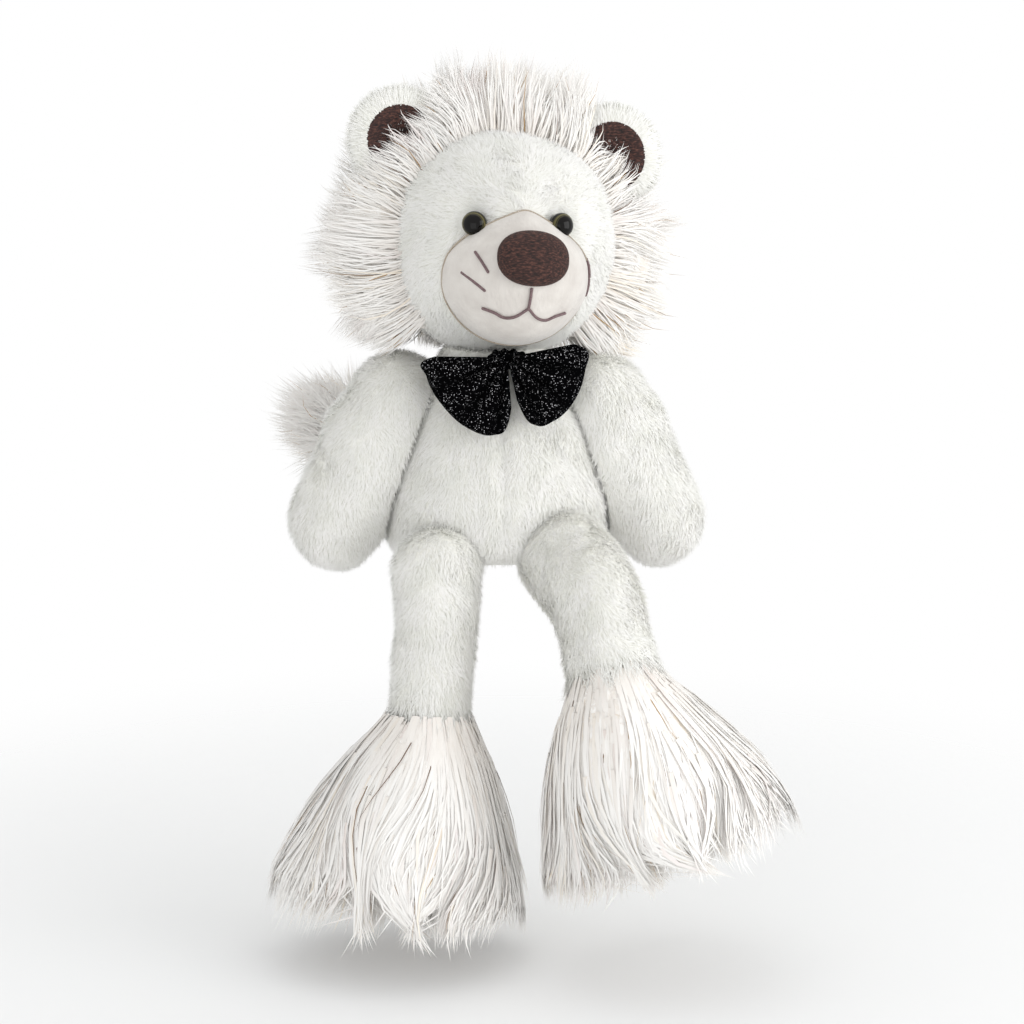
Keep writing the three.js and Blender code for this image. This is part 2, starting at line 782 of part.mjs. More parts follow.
// One drooping loop, which stops short of the middle of the bow
function bowLoop(side, knot, droop) {
  const direction = droop.clone().normalize();
  const along = direction.clone().cross(Y).normalize();
  const across = along.clone().cross(direction);
  const rings = bowRingShares.map(([way, width, thickness]) => ({
    middle: knot.clone().addScaledVector(direction, way * bowLength),
    across: across.clone().multiplyScalar((thickness * bowThickness) / 2),
    along: along.clone().multiplyScalar((width * bowWidth) / 2),
  }));
  const tip = knot.clone().addScaledVector(direction, bowLength);
  const otherSide = new THREE.BoxGeometry(bowWidth, 4 * bowLength, 4 * bowLength);
  otherSide.translate(knot.x - side * (bowWidth / 2 - clearance), knot.y, knot.z);
  return solidOf(loft(rings, limbSides, undefined, tip)).subtract(solidOf(otherSide));
}

function makeBow() {
  const height = bodyHeight - knotDrop;
  const knot = new THREE.Vector3(knotAcross, sideOfBody(height, -1) - knotForward, height);
  const half = new THREE.Vector3(knotWidth, knotDepth, knotHeight).divideScalar(2);
  const knotForm = (grow) =>
    solidOf(ellipsoid(knot, half.clone().addScalar(grow), knotFullness, smallSides, knotRows));
  const around = joined([knotForm(clearance), bodyForm(clearance, 0)]);
  return [
    meshOf("bow_knot", knotForm(0).subtract(bodyForm(clearance, 0)), materials.bow),
    meshOf("bow_loop_right", bowLoop(-1, knot, rightBowDroop).subtract(around), materials.bow),
    meshOf("bow_loop_left", bowLoop(1, knot, leftBowDroop).subtract(around), materials.bow),
  ];
}

const lion = new THREE.Group();
lion.add(
  ...makeBody(),
  makeHead(),
  ...makeBow(),
  ...makeArm("right", -1),
  ...makeArm("left", 1),
  ...makeLeg("right", legs.right),
  ...makeLeg("left", legs.left),
  ...makeTail(),
);

export default lion;
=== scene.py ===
"""A seated plush lion with a long-haired mane, dangling legs, furry feet, a tufted tail and a glitter bow."""
import math

import bpy
import numpy as np
from bpy.props import FloatProperty, FloatVectorProperty, IntProperty, PointerProperty
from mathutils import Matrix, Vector


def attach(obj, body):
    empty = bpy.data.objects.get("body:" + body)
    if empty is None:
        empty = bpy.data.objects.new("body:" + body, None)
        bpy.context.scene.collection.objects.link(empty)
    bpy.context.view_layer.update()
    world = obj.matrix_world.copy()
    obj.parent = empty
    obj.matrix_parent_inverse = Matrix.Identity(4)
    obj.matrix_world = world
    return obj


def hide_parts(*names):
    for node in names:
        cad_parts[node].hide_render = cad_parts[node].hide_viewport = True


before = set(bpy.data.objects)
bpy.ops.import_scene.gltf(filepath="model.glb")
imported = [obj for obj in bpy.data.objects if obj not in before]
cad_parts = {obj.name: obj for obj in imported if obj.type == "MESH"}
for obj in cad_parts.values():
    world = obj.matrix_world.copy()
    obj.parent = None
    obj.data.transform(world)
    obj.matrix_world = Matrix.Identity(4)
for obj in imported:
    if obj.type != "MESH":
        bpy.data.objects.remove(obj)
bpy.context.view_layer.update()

bl_info = {
    "name": "Plush lion",
    "version": (1, 0, 0),
    "blender": (4, 5, 0),
    "location": "View3D > Sidebar > Plush lion",
    "description": "Dresses the solids of a plush lion in cloth, short pile and long hair",
    "category": "Add Mesh",
}

MM = 0.001
SIDES = {"right": -1, "left": 1}  # the lion's own sides; its right is at -X

# The solids' own sizes and places, in millimetres
BODY_HALF = np.array([51, 42])
BODY_HEIGHT = 95.4
BODY_RINGS = np.array([  # share of the height, of the half width and half depth, and the lean by the depth
    [0, 0.86, 0.8, 0],
    [0.05, 0.95, 0.92, 0.01],
    [0.19, 1, 1, 0.024],
    [0.4, 0.96, 0.985, 0.03],
    [0.61, 0.85, 0.88, 0.018],
    [0.79, 0.69, 0.74, 0],
    [0.92, 0.54, 0.6, 0],
    [1, 0.46, 0.53, 0],
])
HEAD_HALF = np.array([51, 46, 49])
HEAD_MIDDLE = np.array([1.5, -2, 141.6])
HEAD_TURN = math.radians(8)
HEAD_TILT = math.radians(4)
HEAD_FULLNESS = 2.3
MUZZLE_MIDDLE = np.array([0, -28, -13])
MUZZLE_HALF = np.array([33, 38, 31])
MUZZLE_NARROWING = 0.75  # share of its width that the muzzle loses at its top
NOSE_HALF = np.array([15.5, 7.5, 11.75])
NOSE_LIFT = 7.7
LIP_DROP = 13.4
MOUTH_REACH = 18
MOUTH_SAG = 4.7
SMILE = np.array([  # way along half the mouth, and share of its sag
    [0, 0], [0.25, 0.8], [0.5, 1], [0.75, 0.6], [1, 0.3],
])
THREAD_RADIUS = 0.62
THREAD_LIFT = 0.3  # of a thread's middle above the muzzle
SEAM_RADIUS = 0.32
SEAM_LIFT = 1.2  # how far the muzzle's seam shows before the head
RUNG_RADIUS = 0.5
RUNG_REACH = 1.6
RUNG_HEIGHTS = 34 + 5 * np.arange(8)
WHISKERS = {  # reach from the middle, height of the top, lean towards the nose and drop
    "right": {"upper": (22.6, 8.6, 4.6, 7.8), "lower": (27.1, -0.4, 8.5, 6.7)},
    "left": {"upper": (30.6, 8.6, -1.4, 7.8), "lower": (32.4, -0.4, 0.8, 6.7)},
}
EYES = {  # across and up from the head's middle
    "right": np.array([-21.2, 7.4]),
    "left": np.array([16.7, 9.3]),
}
EYE_RADIUS = 5.3
EYE_DOME = 4.2
EYE_FOOT = -1.6  # where a dome ends inside the head
EYE_COLUMNS = 48
EAR_PLACE = np.array([48, 0, 41.5])
EAR_RADIUS = 22.5
EAR_THICKNESS = 13
EAR_CUP = 6.5
CUP_RADIUS = 13
EAR_ANGLE = math.radians(51)  # place of an ear round the face, from the top
LINING_RADIUS = 15.5
ARM_RADIUS = 23.5
ARM_SHARES = np.array([1.08, 1.14, 1.12, 1.07, 1.02, 0.98])
SHOULDER = np.array([46, 0, 67])
HAND = np.array([74, 0, 15])
ARM_GAP = 0.8  # between an arm's cloth and the body's width
ARM_WRAP = 0.7  # share of the body's roundness that an arm's inner side follows
ARM_TOP = SHOULDER[2] + 9  # height below which an arm is pressed to the flank
HIP_RADIUS = 20.5
ANKLE_RADIUS = 19
LEGS = {  # hip, knee, ankle and the tips of the foot's hair
    "right": np.array([[-29, -37, 0], [-31, -44, -32], [-34, -50, -64], [-50, -62, -153]]),
    "left": np.array([[28, -37, 3], [38, -61, -12], [44, -77, -42], [69.5, -92, -123]]),
}
HANG = {  # way in which each foot's hair ends
    "right": np.array([-0.1, -0.08, -1]),
    "left": np.array([0.27, -0.2, -1]),
}
BELL_HALF = np.array([56, 44])
BELL_SHARES = np.array([  # way from the ankle to the hem, and share of the growth to the half axes
    [0, 0], [0.12, 0.24], [0.3, 0.5], [0.52, 0.75], [0.75, 0.93], [0.92, 1], [1, 0.94],
])
BELL_WIDEST = 0.92
FOOT_LOCKS = 11  # broad locks round each foot
FOOT_INNER = 0.38  # share of a foot's hairs that fill it
FOOT_FREE = 0.08  # share that hang free of the backing
PILE_STAND = 2  # how far the pile stands off a limb's cloth, which lies as far inside the solid
MANE_RADIUS = 81
MANE_LENGTH = 38
MANE_HEM = -46  # below the middle of the head
MANE_RINGS = np.array([  # share of the radius, and the place in front of or behind the middle
    [0.6, -17], [0.98, -6], [1, 0], [0.96, 16.5], [0.82, 36.3], [0.52, 50.6], [0.12, 55],
])
TAIL = np.array([[0, 44, 14], [-26, 60, 20], [-52, 61, 36], [-68, 57, 50]])
TAIL_RADIUS = 7
TUFT_TIP = np.array([-113, 55, 72])
KNOT = np.array([2, -30, 91])
KNOT_HALF = np.array([8.5, 5.5, 4.5])
LOOPS = {  # each loop's edge: degrees below the level, and millimetres from the knot
    "right": np.array([
        [-4, 32], [-1, 36.4], [10, 36.2], [34, 34.4], [57, 33.6], [77, 32], [87, 28.4], [93, 20],
    ]),
    "left": np.array([
        [-14, 30], [-9, 34.2], [7, 34.3], [31, 33.5], [53, 32], [67, 29.7], [74, 25], [78, 17],
    ]),
}

# Hairs, in millimetres and shares
RIDGE = 0.3  # height of a hair's ridge by its half width
PILE_SOFTNESS = 0.78  # share of the way out in a tuft's shading
PILE_DRIFTS = ((0.4, 20, 3), (0.3, 5, 6))  # strength, size and seed of what turns the combing
PILE_PULL = 0.45  # share of the way to a clump's middle by which tips are drawn in
PILE_DEPTH = 0.3  # of the roots under the surface
HAIR_SOFTNESS = 0.98
MANE_FRONT = 0.34  # place at which the hair round the face ends
MANE_FRONT_ANGLE = math.radians(138)
MANE_BACK = 0.3  # place at which the hair behind it begins
MANE_DROOP = -15
MANE_CLUMPS = ((90, 0.5), (14, 0.45))  # hairs in a clump, and pull to its guide
TUFT_CLUMPS = ((40, 0.35), (14, 0.3))
METAL_WIDTH = 0.45
THIN_SHARE = 0.35  # share of a foot's hairs that are thin, and their width by a lock's
THIN_WIDTH = 0.3

# The stage: the camera in millimetres, the rest in metres and watts
CAMERA_PLACE = np.array([-72.2, -905.2, 162.4])
CAMERA_AIM = np.array([7, 0, 18.5])
CAMERA_LENS = 70.3  # with a sensor 36 mm wide
LAMPS = {  # place, power and width
    "key_softbox": ((1.4, -0.9, 0.3), 13, 1.3),
    "fill_softbox": ((-0.4, -1.2, -0.1), 2.5, 1.0),
    "top_softbox": ((0.0, 0.0, 1.3), 1.5, 1.0),
}
LAMP_AIM = np.array([0, 0, 0.03])
WORLD_COLOUR = "#fafbfb"
WORLD_STRENGTH = 0.84
FLOOR_SIZE = 3.0
FLOOR_HEIGHT = -0.1705
FLOOR_FADE = {"From Min": 0.2, "From Max": 0.55}  # distances over which the floor turns clear


# Sizes and colours that a user would change

def linear(colour):
    """The linear red, green, blue and alpha of an sRGB hex colour."""
    shares = [int(colour[i:i + 2], 16) / 255 for i in (1, 3, 5)]
    return [s / 12.92 if s <= 0.04045 else ((s + 0.055) / 1.055) ** 2.4 for s in shares] + [1.0]


def length_property(name, description, default):
    """A length in metres that is given here in millimetres."""
    return FloatProperty(name=name, description=description, default=default * MM, unit="LENGTH", precision=5)


def colour_property(name, description, default):
    """A colour that is given here as sRGB hex."""
    return FloatVectorProperty(name=name, description=description, default=linear(default), size=4,
                               subtype="COLOR", min=0, max=1)


class LionSizes(bpy.types.PropertyGroup):
    """Lengths and counts of the lion's pile and hair."""
    pile_length: length_property("Pile", "Length of the short plush pile", 4.2)
    pile_width: length_property("Pile tuft width", "Width of one tuft of pile at its root", 0.6)
    pile_spacing: length_property("Pile spacing", "Distance between neighbouring tufts", 0.655)
    clump_size: length_property("Clumps", "Distance between the clumps that tufts draw into", 2.6)
    mane_length: length_property("Mane", "Length of the mane's hair", MANE_LENGTH)
    tuft_length: length_property("Tail hair", "Length of the hair of the tail's tuft", 46)
    hair_width: length_property("Hair width", "Width of one lock of long hair at its root", 0.75)
    mane_count: IntProperty(name="Mane hairs", description="Locks of hair in each half of the mane",
                            default=8000, min=100)
    foot_width: length_property("Foot hair width", "Width of one lock of a foot's hair at its root", 2.4)
    foot_count: IntProperty(name="Foot hairs", description="Locks of hair on each foot",
                            default=6000, min=100)
    tuft_count: IntProperty(name="Tail hairs", description="Locks of hair in the tail's tuft",
                            default=4000, min=100)


class LionColours(bpy.types.PropertyGroup):
    """Colours of the lion's cloth, hair, thread and plastic."""
    plush: colour_property("Plush", "Short pile", "#f5f4ef")
    # painted shade: the pile darkened as it looks in the shade near its roots
    plush_shade: colour_property("Plush shade", "Short pile near its roots", "#e6e5de")
    hair: colour_property("Hair", "Most of the long hair", "#faf8f5")
    cream: colour_property("Cream hair", "Warm locks of long hair", "#f7eddd")
    rose: colour_property("Rose hair", "Greyish pink locks of long hair", "#f2ebe8")
    gold: colour_property("Gold hair", "Thin metallised hairs", "#a9813f")
    copper: colour_property("Copper hair", "Thin brown hairs", "#6a4a33")
    velboa: colour_property("Muzzle", "Short velvety cloth of the muzzle", "#e0dbd5")
    brown: colour_property("Nose", "Velvety cloth of the nose and the ears' linings", "#361f1b")
    thread: colour_property("Thread", "Embroidery thread", "#7d6668")
    seam: colour_property("Seam", "Folded edge of the muzzle's cloth", "#b8ac9c")
    bow: colour_property("Bow", "Cloth of the bow under its glitter", "#060607")
    glitter: colour_property("Glitter", "Flakes on the bow", "#d9d9dc")
    iris: colour_property("Iris", "Ring of the safety eyes", "#6a6440")
    floor: colour_property("Floor", "Floor under the lion", "#fafafa")


# Numbers: smooth curves, random lumps, turning and placing

def unit(vectors):
    """Each vector divided by its own length."""
    return vectors / np.maximum(np.linalg.norm(vectors, axis=-1, keepdims=True), 1e-12)


def through(knots, rows, at):
    """Rows of values joined by cubics. Each cubic leaves a knot with the slope of its neighbours' line."""
    knots, rows = np.asarray(knots, float), np.asarray(rows, float)
    slopes = np.gradient(rows, knots, axis=0)
    i = np.clip(np.searchsorted(knots, at, side="right") - 1, 0, len(knots) - 2)
    span = (knots[i + 1] - knots[i])[..., None]
    t = (np.asarray(at, float) - knots[i])[..., None] / span
    return (
        rows[i] * (1 + 2 * t) * (1 - t) ** 2
        + slopes[i] * span * t * (1 - t) ** 2
        + rows[i + 1] * (3 - 2 * t) * t ** 2
        - slopes[i + 1] * span * t ** 2 * (1 - t)
    )


def evenly(rows, at):
    """Rows of values that stand evenly from 0 to 1, joined by cubics."""
    return through(np.linspace(0, 1, len(rows)), rows, at)


def body_ring(height):
    """Shares of the body's half width and half depth, and its lean, at a share of its height."""
    return through(BODY_RINGS[:, 0], BODY_RINGS[:, 1:], height)


def turns(count):
    """The angles of a full turn, evenly apart, as a row."""
    return np.linspace(0, 2 * np.pi, count, endpoint=False)[None, :]


def xyz(x, y, z):
    """Points of three coordinates, each one number or an array."""
    return np.stack(np.broadcast_arrays(x, y, z), -1)


def lumps(points, size, seed):
    """A smooth random height from about -1 to 1: a sum of sine waves about one size long."""
    rng = np.random.default_rng(seed)
    waves = 14
    ways = unit(rng.normal(size=(waves, 3))) * 2 * np.pi / (size * rng.uniform(0.7, 1.7, (waves, 1)))
    return np.sin(points @ ways.T + rng.uniform(0, 2 * np.pi, waves)).sum(-1) / math.sqrt(2 * waves)


def drift(points, size, seed):
    """A smooth random vector at each point, of three lumps."""
    return np.stack([lumps(points, size, seed + axis) for axis in range(3)], -1)


def flattened(vectors, out, share=1.0):
    """Vectors without their part along the way out, or without a share of it."""
    return vectors - share * out * (vectors * out).sum(-1, keepdims=True)


def rise(values, low, high):
    """0 below low, 1 above high, and a smooth step between them."""
    t = np.clip((values - low) / (high - low), 0, 1)
    return t * t * (3 - 2 * t)


def on_head(points):
    """Points of the head's own frame set in the body's: tilted about Y, turned about Z and moved up."""
    c, s = math.cos(HEAD_TURN), math.sin(HEAD_TURN)
    turn = np.array([[c, -s, 0], [s, c, 0], [0, 0, 1]])
    c, s = math.cos(HEAD_TILT), math.sin(HEAD_TILT)
    tilt = np.array([[c, 0, s], [0, 1, 0], [-s, 0, c]])
    return points @ (turn @ tilt).T + HEAD_MIDDLE


# Surfaces as grids of points in millimetres: rings of columns, closed at each end

def ball(middle, half, fullness=2.0, rows=56, columns=96):
    """A ball of rings from pole to pole: the cosine and sine of latitude, each raised to 2 over the
    fullness, give a ring's width and height, and the half axes stretch them."""
    latitude = np.linspace(-np.pi / 2, np.pi / 2, rows + 1)[:, None]
    longitude = turns(columns)
    width = np.maximum(np.cos(latitude), 0) ** (2 / fullness)
    height = np.sign(latitude) * np.abs(np.sin(latitude)) ** (2 / fullness)
    return middle + xyz(width * np.cos(longitude), width * np.sin(longitude), height) * half


def tube(knots, radii, rows=60, columns=64, reference=(1, 0, 0)):
    """A stuffed tube: circles across a smooth path, with a half circle of rings over each end."""
    way = np.linspace(0, 1, rows)
    path = evenly(knots, way)
    radius = evenly(np.asarray(radii, float)[:, None], way)[:, 0]
    ahead = unit(np.gradient(path, axis=0))
    cap = np.linspace(0, np.pi / 2, 10)[:-1]
    start = path[0] - ahead[0] * (radius[0] * np.cos(cap))[:, None]
    end = path[-1] + ahead[-1] * (radius[-1] * np.cos(cap[::-1]))[:, None]
    middles = np.vstack([start, path, end])
    sizes = np.concatenate([radius[0] * np.sin(cap), radius, radius[-1] * np.sin(cap[::-1])])
    ahead = np.vstack([np.repeat(ahead[:1], len(cap), 0), ahead, np.repeat(ahead[-1:], len(cap), 0)])
    along = unit(np.cross(ahead, np.asarray(reference, float)))
    across = np.cross(along, ahead)
    turn = turns(columns)[..., None]
    ring = np.cos(turn) * across[:, None] + np.sin(turn) * along[:, None]
    return middles[:, None] + ring * sizes[:, None, None]


def closed(grid):
    """Points, quads and triangles of a closed surface over a grid whose first and last rings are points.
    Its volume's sign turns the faces outward."""
    rings = grid[1:-1]
    rows, columns = rings.shape[:2]
    points = np.vstack([rings.reshape(-1, 3), grid[0].mean(0), grid[-1].mean(0)])
    here = np.arange(rows * columns).reshape(rows, columns)
    right = np.roll(here, -1, 1)
    quads = np.stack([here[:-1], right[:-1], right[1:], here[1:]], -1).reshape(-1, 4)
    pole = np.full(columns, rows * columns)
    fans = np.vstack([
        np.stack([pole, right[0], here[0]], -1),
        np.stack([pole + 1, here[-1], right[-1]], -1),
    ])
    a, b, c = (points[thirds(quads, fans)[:, i]] for i in range(3))
    if np.einsum("ij,ij->i", a, np.cross(b, c)).sum() < 0:
        quads, fans = quads[:, ::-1], fans[:, ::-1]
    return points, quads, fans


def thirds(quads, fans):
    """The quads and fans of a surface, all as triangles."""
    return np.vstack([quads[:, [0, 1, 2]], quads[:, [0, 2, 3]], fans])


def facing(points, triangles):
    """The outward direction at each point: the sum of its triangles' crossed sides."""
    a, b, c = (points[triangles[:, i]] for i in range(3))
    crossed = np.cross(b - a, c - a)
    total = np.zeros_like(points)
    for i in range(3):
        np.add.at(total, triangles[:, i], crossed)
    return unit(total)


def pushed(grid, heights):
    """A grid moved out along its own surface's direction by a height at each point."""
    points, quads, fans = closed(grid)
    out = facing(points, thirds(quads, fans))
    rows, columns = grid.shape[:2]
    ends = [np.broadcast_to(out[i], (1, columns, 3)) for i in (-2, -1)]
    out = np.concatenate([ends[0], out[:-2].reshape(rows - 2, columns, 3), ends[1]])
    return grid + out * heights[..., None]


# Meshes

def add_object(name, data):
    """A new object of some data, in the scene."""
    made = bpy.data.objects.new(name, data)
    bpy.context.scene.collection.objects.link(made)
    return made


def mesh_piece(name, points, faces, material, body, uv=None, normals=None):
    """A smooth mesh piece of points in millimetres and arrays of faces, which rides on a body. Its
    faces' corners may get directions to be shaded by."""
    mesh = bpy.data.meshes.new(name)
    corners = np.concatenate([part.ravel() for part in faces]).astype(np.int32)
    sizes = np.concatenate([np.full(len(part), part.shape[1]) for part in faces])
    starts = np.concatenate([[0], np.cumsum(sizes)[:-1]]).astype(np.int32)
    mesh.vertices.add(len(points))
    mesh.loops.add(len(corners))
    mesh.polygons.add(len(sizes))
    mesh.vertices.foreach_set("co", (points * MM).astype(np.float32).ravel())
    mesh.loops.foreach_set("vertex_index", corners)
    mesh.polygons.foreach_set("loop_start", starts)
    mesh.update(calc_edges=True)
    mesh.shade_smooth()
    if uv is not None:
        layer = mesh.uv_layers.new(name="OFBake")
        layer.data.foreach_set("uv", uv[corners].astype(np.float32).ravel())
    if normals is not None:
        mesh.normals_split_custom_set(normals.astype(np.float32))
    mesh.materials.append(material)
    piece = add_object(name, mesh)
    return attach(piece, body)


def shell(name, grid, material, body):
    """A closed grid as a piece."""
    points, quads, fans = closed(grid)
    return mesh_piece(name, points, [quads, fans], material, body)


def hairs(name, paths, widths, shades, out, material, body, softness, place=None):
    """Closed hairs, each a flat three-sided blade whose ridge faces out: at each step of a path two
    edges and the ridge lie round it, ever closer to the path, and the last step is the tip. Soft hairs
    are shaded more by the way out than by their own sides, but for the flat side that faces in. The
    map's U is the hair's shade and its V the way to the tip. A place is a function that sets the
    hairs' own frame in the body's."""
    if place:
        paths, out = place(paths), place(out) - place(np.zeros(3))
    count, steps = paths.shape[:2]
    rings = steps - 1
    ahead = unit(np.gradient(paths, axis=1))[:, :-1]
    across = unit(np.cross(ahead, out[:, None]))
    ridge = np.cross(across, ahead)
    way = np.arange(steps) / rings
    size = (1 - way[:-1] ** 1.8)[None, :, None] * widths[:, None, None] / 2
    ring = np.stack([across, -across, RIDGE * ridge], 2) * size[:, :, None]
    points = np.concatenate([(paths[:, :-1, None] + ring).reshape(count, rings * 3, 3), paths[:, -1:]], 1)
    own = np.stack([across, -across, ridge], 2).reshape(count, rings * 3, 3)
    shaded = unit(np.concatenate([softness * out[:, None] + (1 - softness) * own, out[:, None]], 1))
    faces, flat = blade_faces(rings)
    normals = shaded[:, faces]
    normals[:, flat] = -ridge[:, 0][:, None, None]
    first = np.arange(count)[:, None, None] * (3 * rings + 1)
    spread = np.array([-1, 1, 0]) * 0.006
    u = np.concatenate([np.tile(spread, rings), [0]]) + np.clip(shades, 0.01, 0.99)[:, None]
    v = np.concatenate([np.repeat(way[:-1], 3) + np.tile([0, 0.02, 0], rings), [1]])
    uv = np.stack(np.broadcast_arrays(u, v), -1).reshape(-1, 2)
    thin = [(faces + first).reshape(-1, 3)]
    return mesh_piece(name, points.reshape(-1, 3), thin, material, body, uv, normals.reshape(-1, 3))


def blade_faces(rings):
    """The triangles of one blade of that many rings of three points and a tip, and which of them lie on
    its flat side or close its root."""
    corner = np.arange(3)
    after = np.roll(corner, -1)
    faces = [np.array([[2, 1, 0]])]
    for first in 3 * np.arange(rings - 1):
        faces.append(np.stack([corner, after, after + 3], -1) + first)
        faces.append(np.stack([corner, after + 3, corner + 3], -1) + first)
    last = 3 * (rings - 1)
    faces.append(np.stack([corner + last, after + last, np.full(3, last + 3)], -1))
    flat = np.zeros(len(np.vstack(faces)), bool)
    flat[0] = True
    flat[1::3] = True
    return np.vstack(faces), flat


def scattered(grid, spacing, rng):
    """Random spots about one spacing apart on a closed grid, evenly by area, and the way out at each."""
    points, quads, fans = closed(grid)
    triangles = thirds(quads, fans)
    a, b, c = (points[triangles[:, i]] for i in range(3))
    areas = np.linalg.norm(np.cross(b - a, c - a), axis=1) / 2
    count = int(areas.sum() / (spacing * spacing))
    pick = rng.choice(len(triangles), count, p=areas / areas.sum())
    shares = rng.dirichlet([1, 1, 1], count)
    corners = triangles[pick]
    out = facing(points, triangles)
    spots = np.einsum("ij,ijk->ik", shares, points[corners])
    return spots, unit(np.einsum("ij,ijk->ik", shares, out[corners]))


def pile_lie(spots, out, comb, rng):
    """The way in which each tuft lies along the surface: the combing, turned in patches by smooth
    random vectors."""
    stray = 0.2 * rng.normal(size=(len(spots), 3))
    lie = comb(spots)
    for strength, size, seed in PILE_DRIFTS:
        lie = lie + strength * drift(spots, size, seed)
    return unit(flattened(lie + stray, out))


def to_clump(spots, out, clump):
    """From each spot along the surface to the middle of its clump, on a lattice bent at random."""
    warp = 0.5 * clump * drift(spots, 2.5 * clump, 90)
    return flattened(np.round((spots + warp) / clump) * clump - warp - spots, out)


def pile(name, grid, comb, body, keep=None, length_share=1.0, place=None):
    """Short straight tufts over a grid, where it is kept. Each leans from the surface's way out towards
    the way in which it lies, and neighbours' tips draw together. The share of the usual length is one
    number, or a function of the spots."""
    sizes = bpy.context.scene.lion_sizes
    rng = np.random.default_rng(len(name) * 97 + ord(name[0]))
    spacing = sizes.pile_spacing / MM * 1
    spots, out = scattered(grid, spacing, rng)
    if keep is not None:
        kept = keep(spots)
        spots, out = spots[kept], out[kept]
    count = len(spots)
    lie = pile_lie(spots, out, comb, rng)
    stand = 0.6 + 0.16 * lumps(spots, 7, 12)[:, None] + 0.12 * rng.normal(size=(count, 1))
    if callable(length_share):
        length_share = length_share(spots)[:, None]
    length = sizes.pile_length / MM * length_share * rng.uniform(0.65, 1.25, (count, 1))
    root = spots - PILE_DEPTH * out
    tips = root + length * unit(np.clip(stand, 0.3, 1.4) * out + lie)
    tips = tips + PILE_PULL * to_clump(spots, out, sizes.clump_size / MM)
    widths = sizes.pile_width / MM * rng.uniform(0.7, 1.2, count) * 1
    shades = np.clip(0.5 + 0.22 * lumps(spots, 14, 20) + 0.12 * rng.normal(size=count), 0, 1)
    paths = np.stack([root, tips], 1)
    return hairs(name, paths, widths, shades, out, finish_of("tufts"), body, PILE_SOFTNESS, place)


def clumped(paths, clumps, rng):
    """Hairs drawn towards the guide of their clump, by the square root of the cube of the way to the
    tip. Each row of the clumps gives a number of hairs and a pull."""
    count = len(paths)
    way = np.linspace(0, 1, paths.shape[1])[None, :, None] ** 1.5
    for each, pull in clumps:
        guides = paths[rng.choice(count, count // each, replace=False)]
        nearest = np.empty(count, int)
        for chunk in np.array_split(np.arange(count), 40):
            gap = paths[chunk, None, 0] - guides[None, :, 0]
            nearest[chunk] = np.einsum("ijk,ijk->ij", gap, gap).argmin(1)
        paths = paths + (guides[nearest] - paths) * way * pull
    return paths


def hair_shades(count, roots, gold, rng):
    """Shades of hair: white to cream and rose in patches below 0.9, and gold and copper above it."""
    shades = np.clip(0.42 + 0.24 * lumps(roots, 16, 31) + 0.1 * rng.normal(size=count), 0.02, 0.86)
    metal = rng.random(count) < gold
    shades[metal] = rng.uniform(0.92, 0.985, metal.sum())
    return shades, metal


# Materials

def add_node(tree, kind, inputs=None, **settings):
    """A node of one kind with its settings. Each input, given by its name or place, takes a value or
    another node's output."""
    made = tree.nodes.new(kind)
    for name, value in settings.items():
        setattr(made, name, value)
    for name, value in (inputs or {}).items():
        if isinstance(value, bpy.types.NodeSocket):
            tree.links.new(value, made.inputs[name])
        else:
            made.inputs[name].default_value = value
    return made


def new_material(name):
    """An empty material and its tree."""
    material = bpy.data.materials.new(name)
    material.use_nodes = True
    material.node_tree.nodes.clear()
    return material, material.node_tree


def ramp(tree, value, stops):
    """Colours, each sRGB hex or linear values, at places along a value from 0 to 1."""
    stops = [(place, linear(colour) if isinstance(colour, str) else colour) for place, colour in stops]
    made = add_node(tree, "ShaderNodeValToRGB", {"Fac": value})
    elements = made.color_ramp.elements
    for end in (0, -1):
        elements[end].position, elements[end].color = stops[end]
    for place, colour in stops[1:-1]:
        elements.new(place).color = colour
    return made.outputs["Color"]


def noise(tree, size, detail=2.0, stretch=None):
    """Noise whose lumps are about one size in metres apart on the object, perhaps drawn out along an axis."""
    place = add_node(tree, "ShaderNodeTexCoord").outputs["Object"]
    if stretch:
        place = add_node(tree, "ShaderNodeMapping", {"Vector": place, "Scale": stretch}).outputs["Vector"]
    made = add_node(tree, "ShaderNodeTexNoise", {"Vector": place, "Scale": 1 / size, "Detail": detail})
    return made.outputs["Fac"]


def bump(tree, height, distance, strength=1.0):
    """A bump of a height map, as deep as the distance in metres."""
    made = add_node(tree, "ShaderNodeBump", {"Height": height, "Distance": distance, "Strength": strength})
    return made.outputs["Normal"]


def map_values(tree):
    """The two values of a piece's map, as X and Y."""
    spot = add_node(tree, "ShaderNodeUVMap", uv_map="OFBake").outputs["UV"]
    return add_node(tree, "ShaderNodeSeparateXYZ", {"Vector": spot}).outputs


def mixed(tree, share, first, second, blend="MIX"):
    """Two colours mixed by a share. A Mix node's colour inputs share their names with its numbers', so
    they are called by their places."""
    inputs = {0: share, 6: first, 7: second}
    return add_node(tree, "ShaderNodeMix", inputs, data_type="RGBA", blend_type=blend).outputs[2]


def product(tree, first, second):
    """Two values multiplied."""
    return add_node(tree, "ShaderNodeMath", {0: first, 1: second}, operation="MULTIPLY").outputs[0]


def sheared_plush(tree, colours):
    """Knitted polyester plush, sheared: a matt white cloth, mottled every few millimetres where its
    pile lies two ways, which the tufts over it also show."""
    return {
        "Base Color": ramp(tree, noise(tree, 6 * MM), [(0.3, colours.plush_shade), (0.7, colours.plush)]),
        "Roughness": 0.95,
        "Sheen Weight": 0.3,
        "Sheen Roughness": 0.6,
        "Normal": bump(tree, noise(tree, 1.2 * MM), 0.4 * MM),
    }


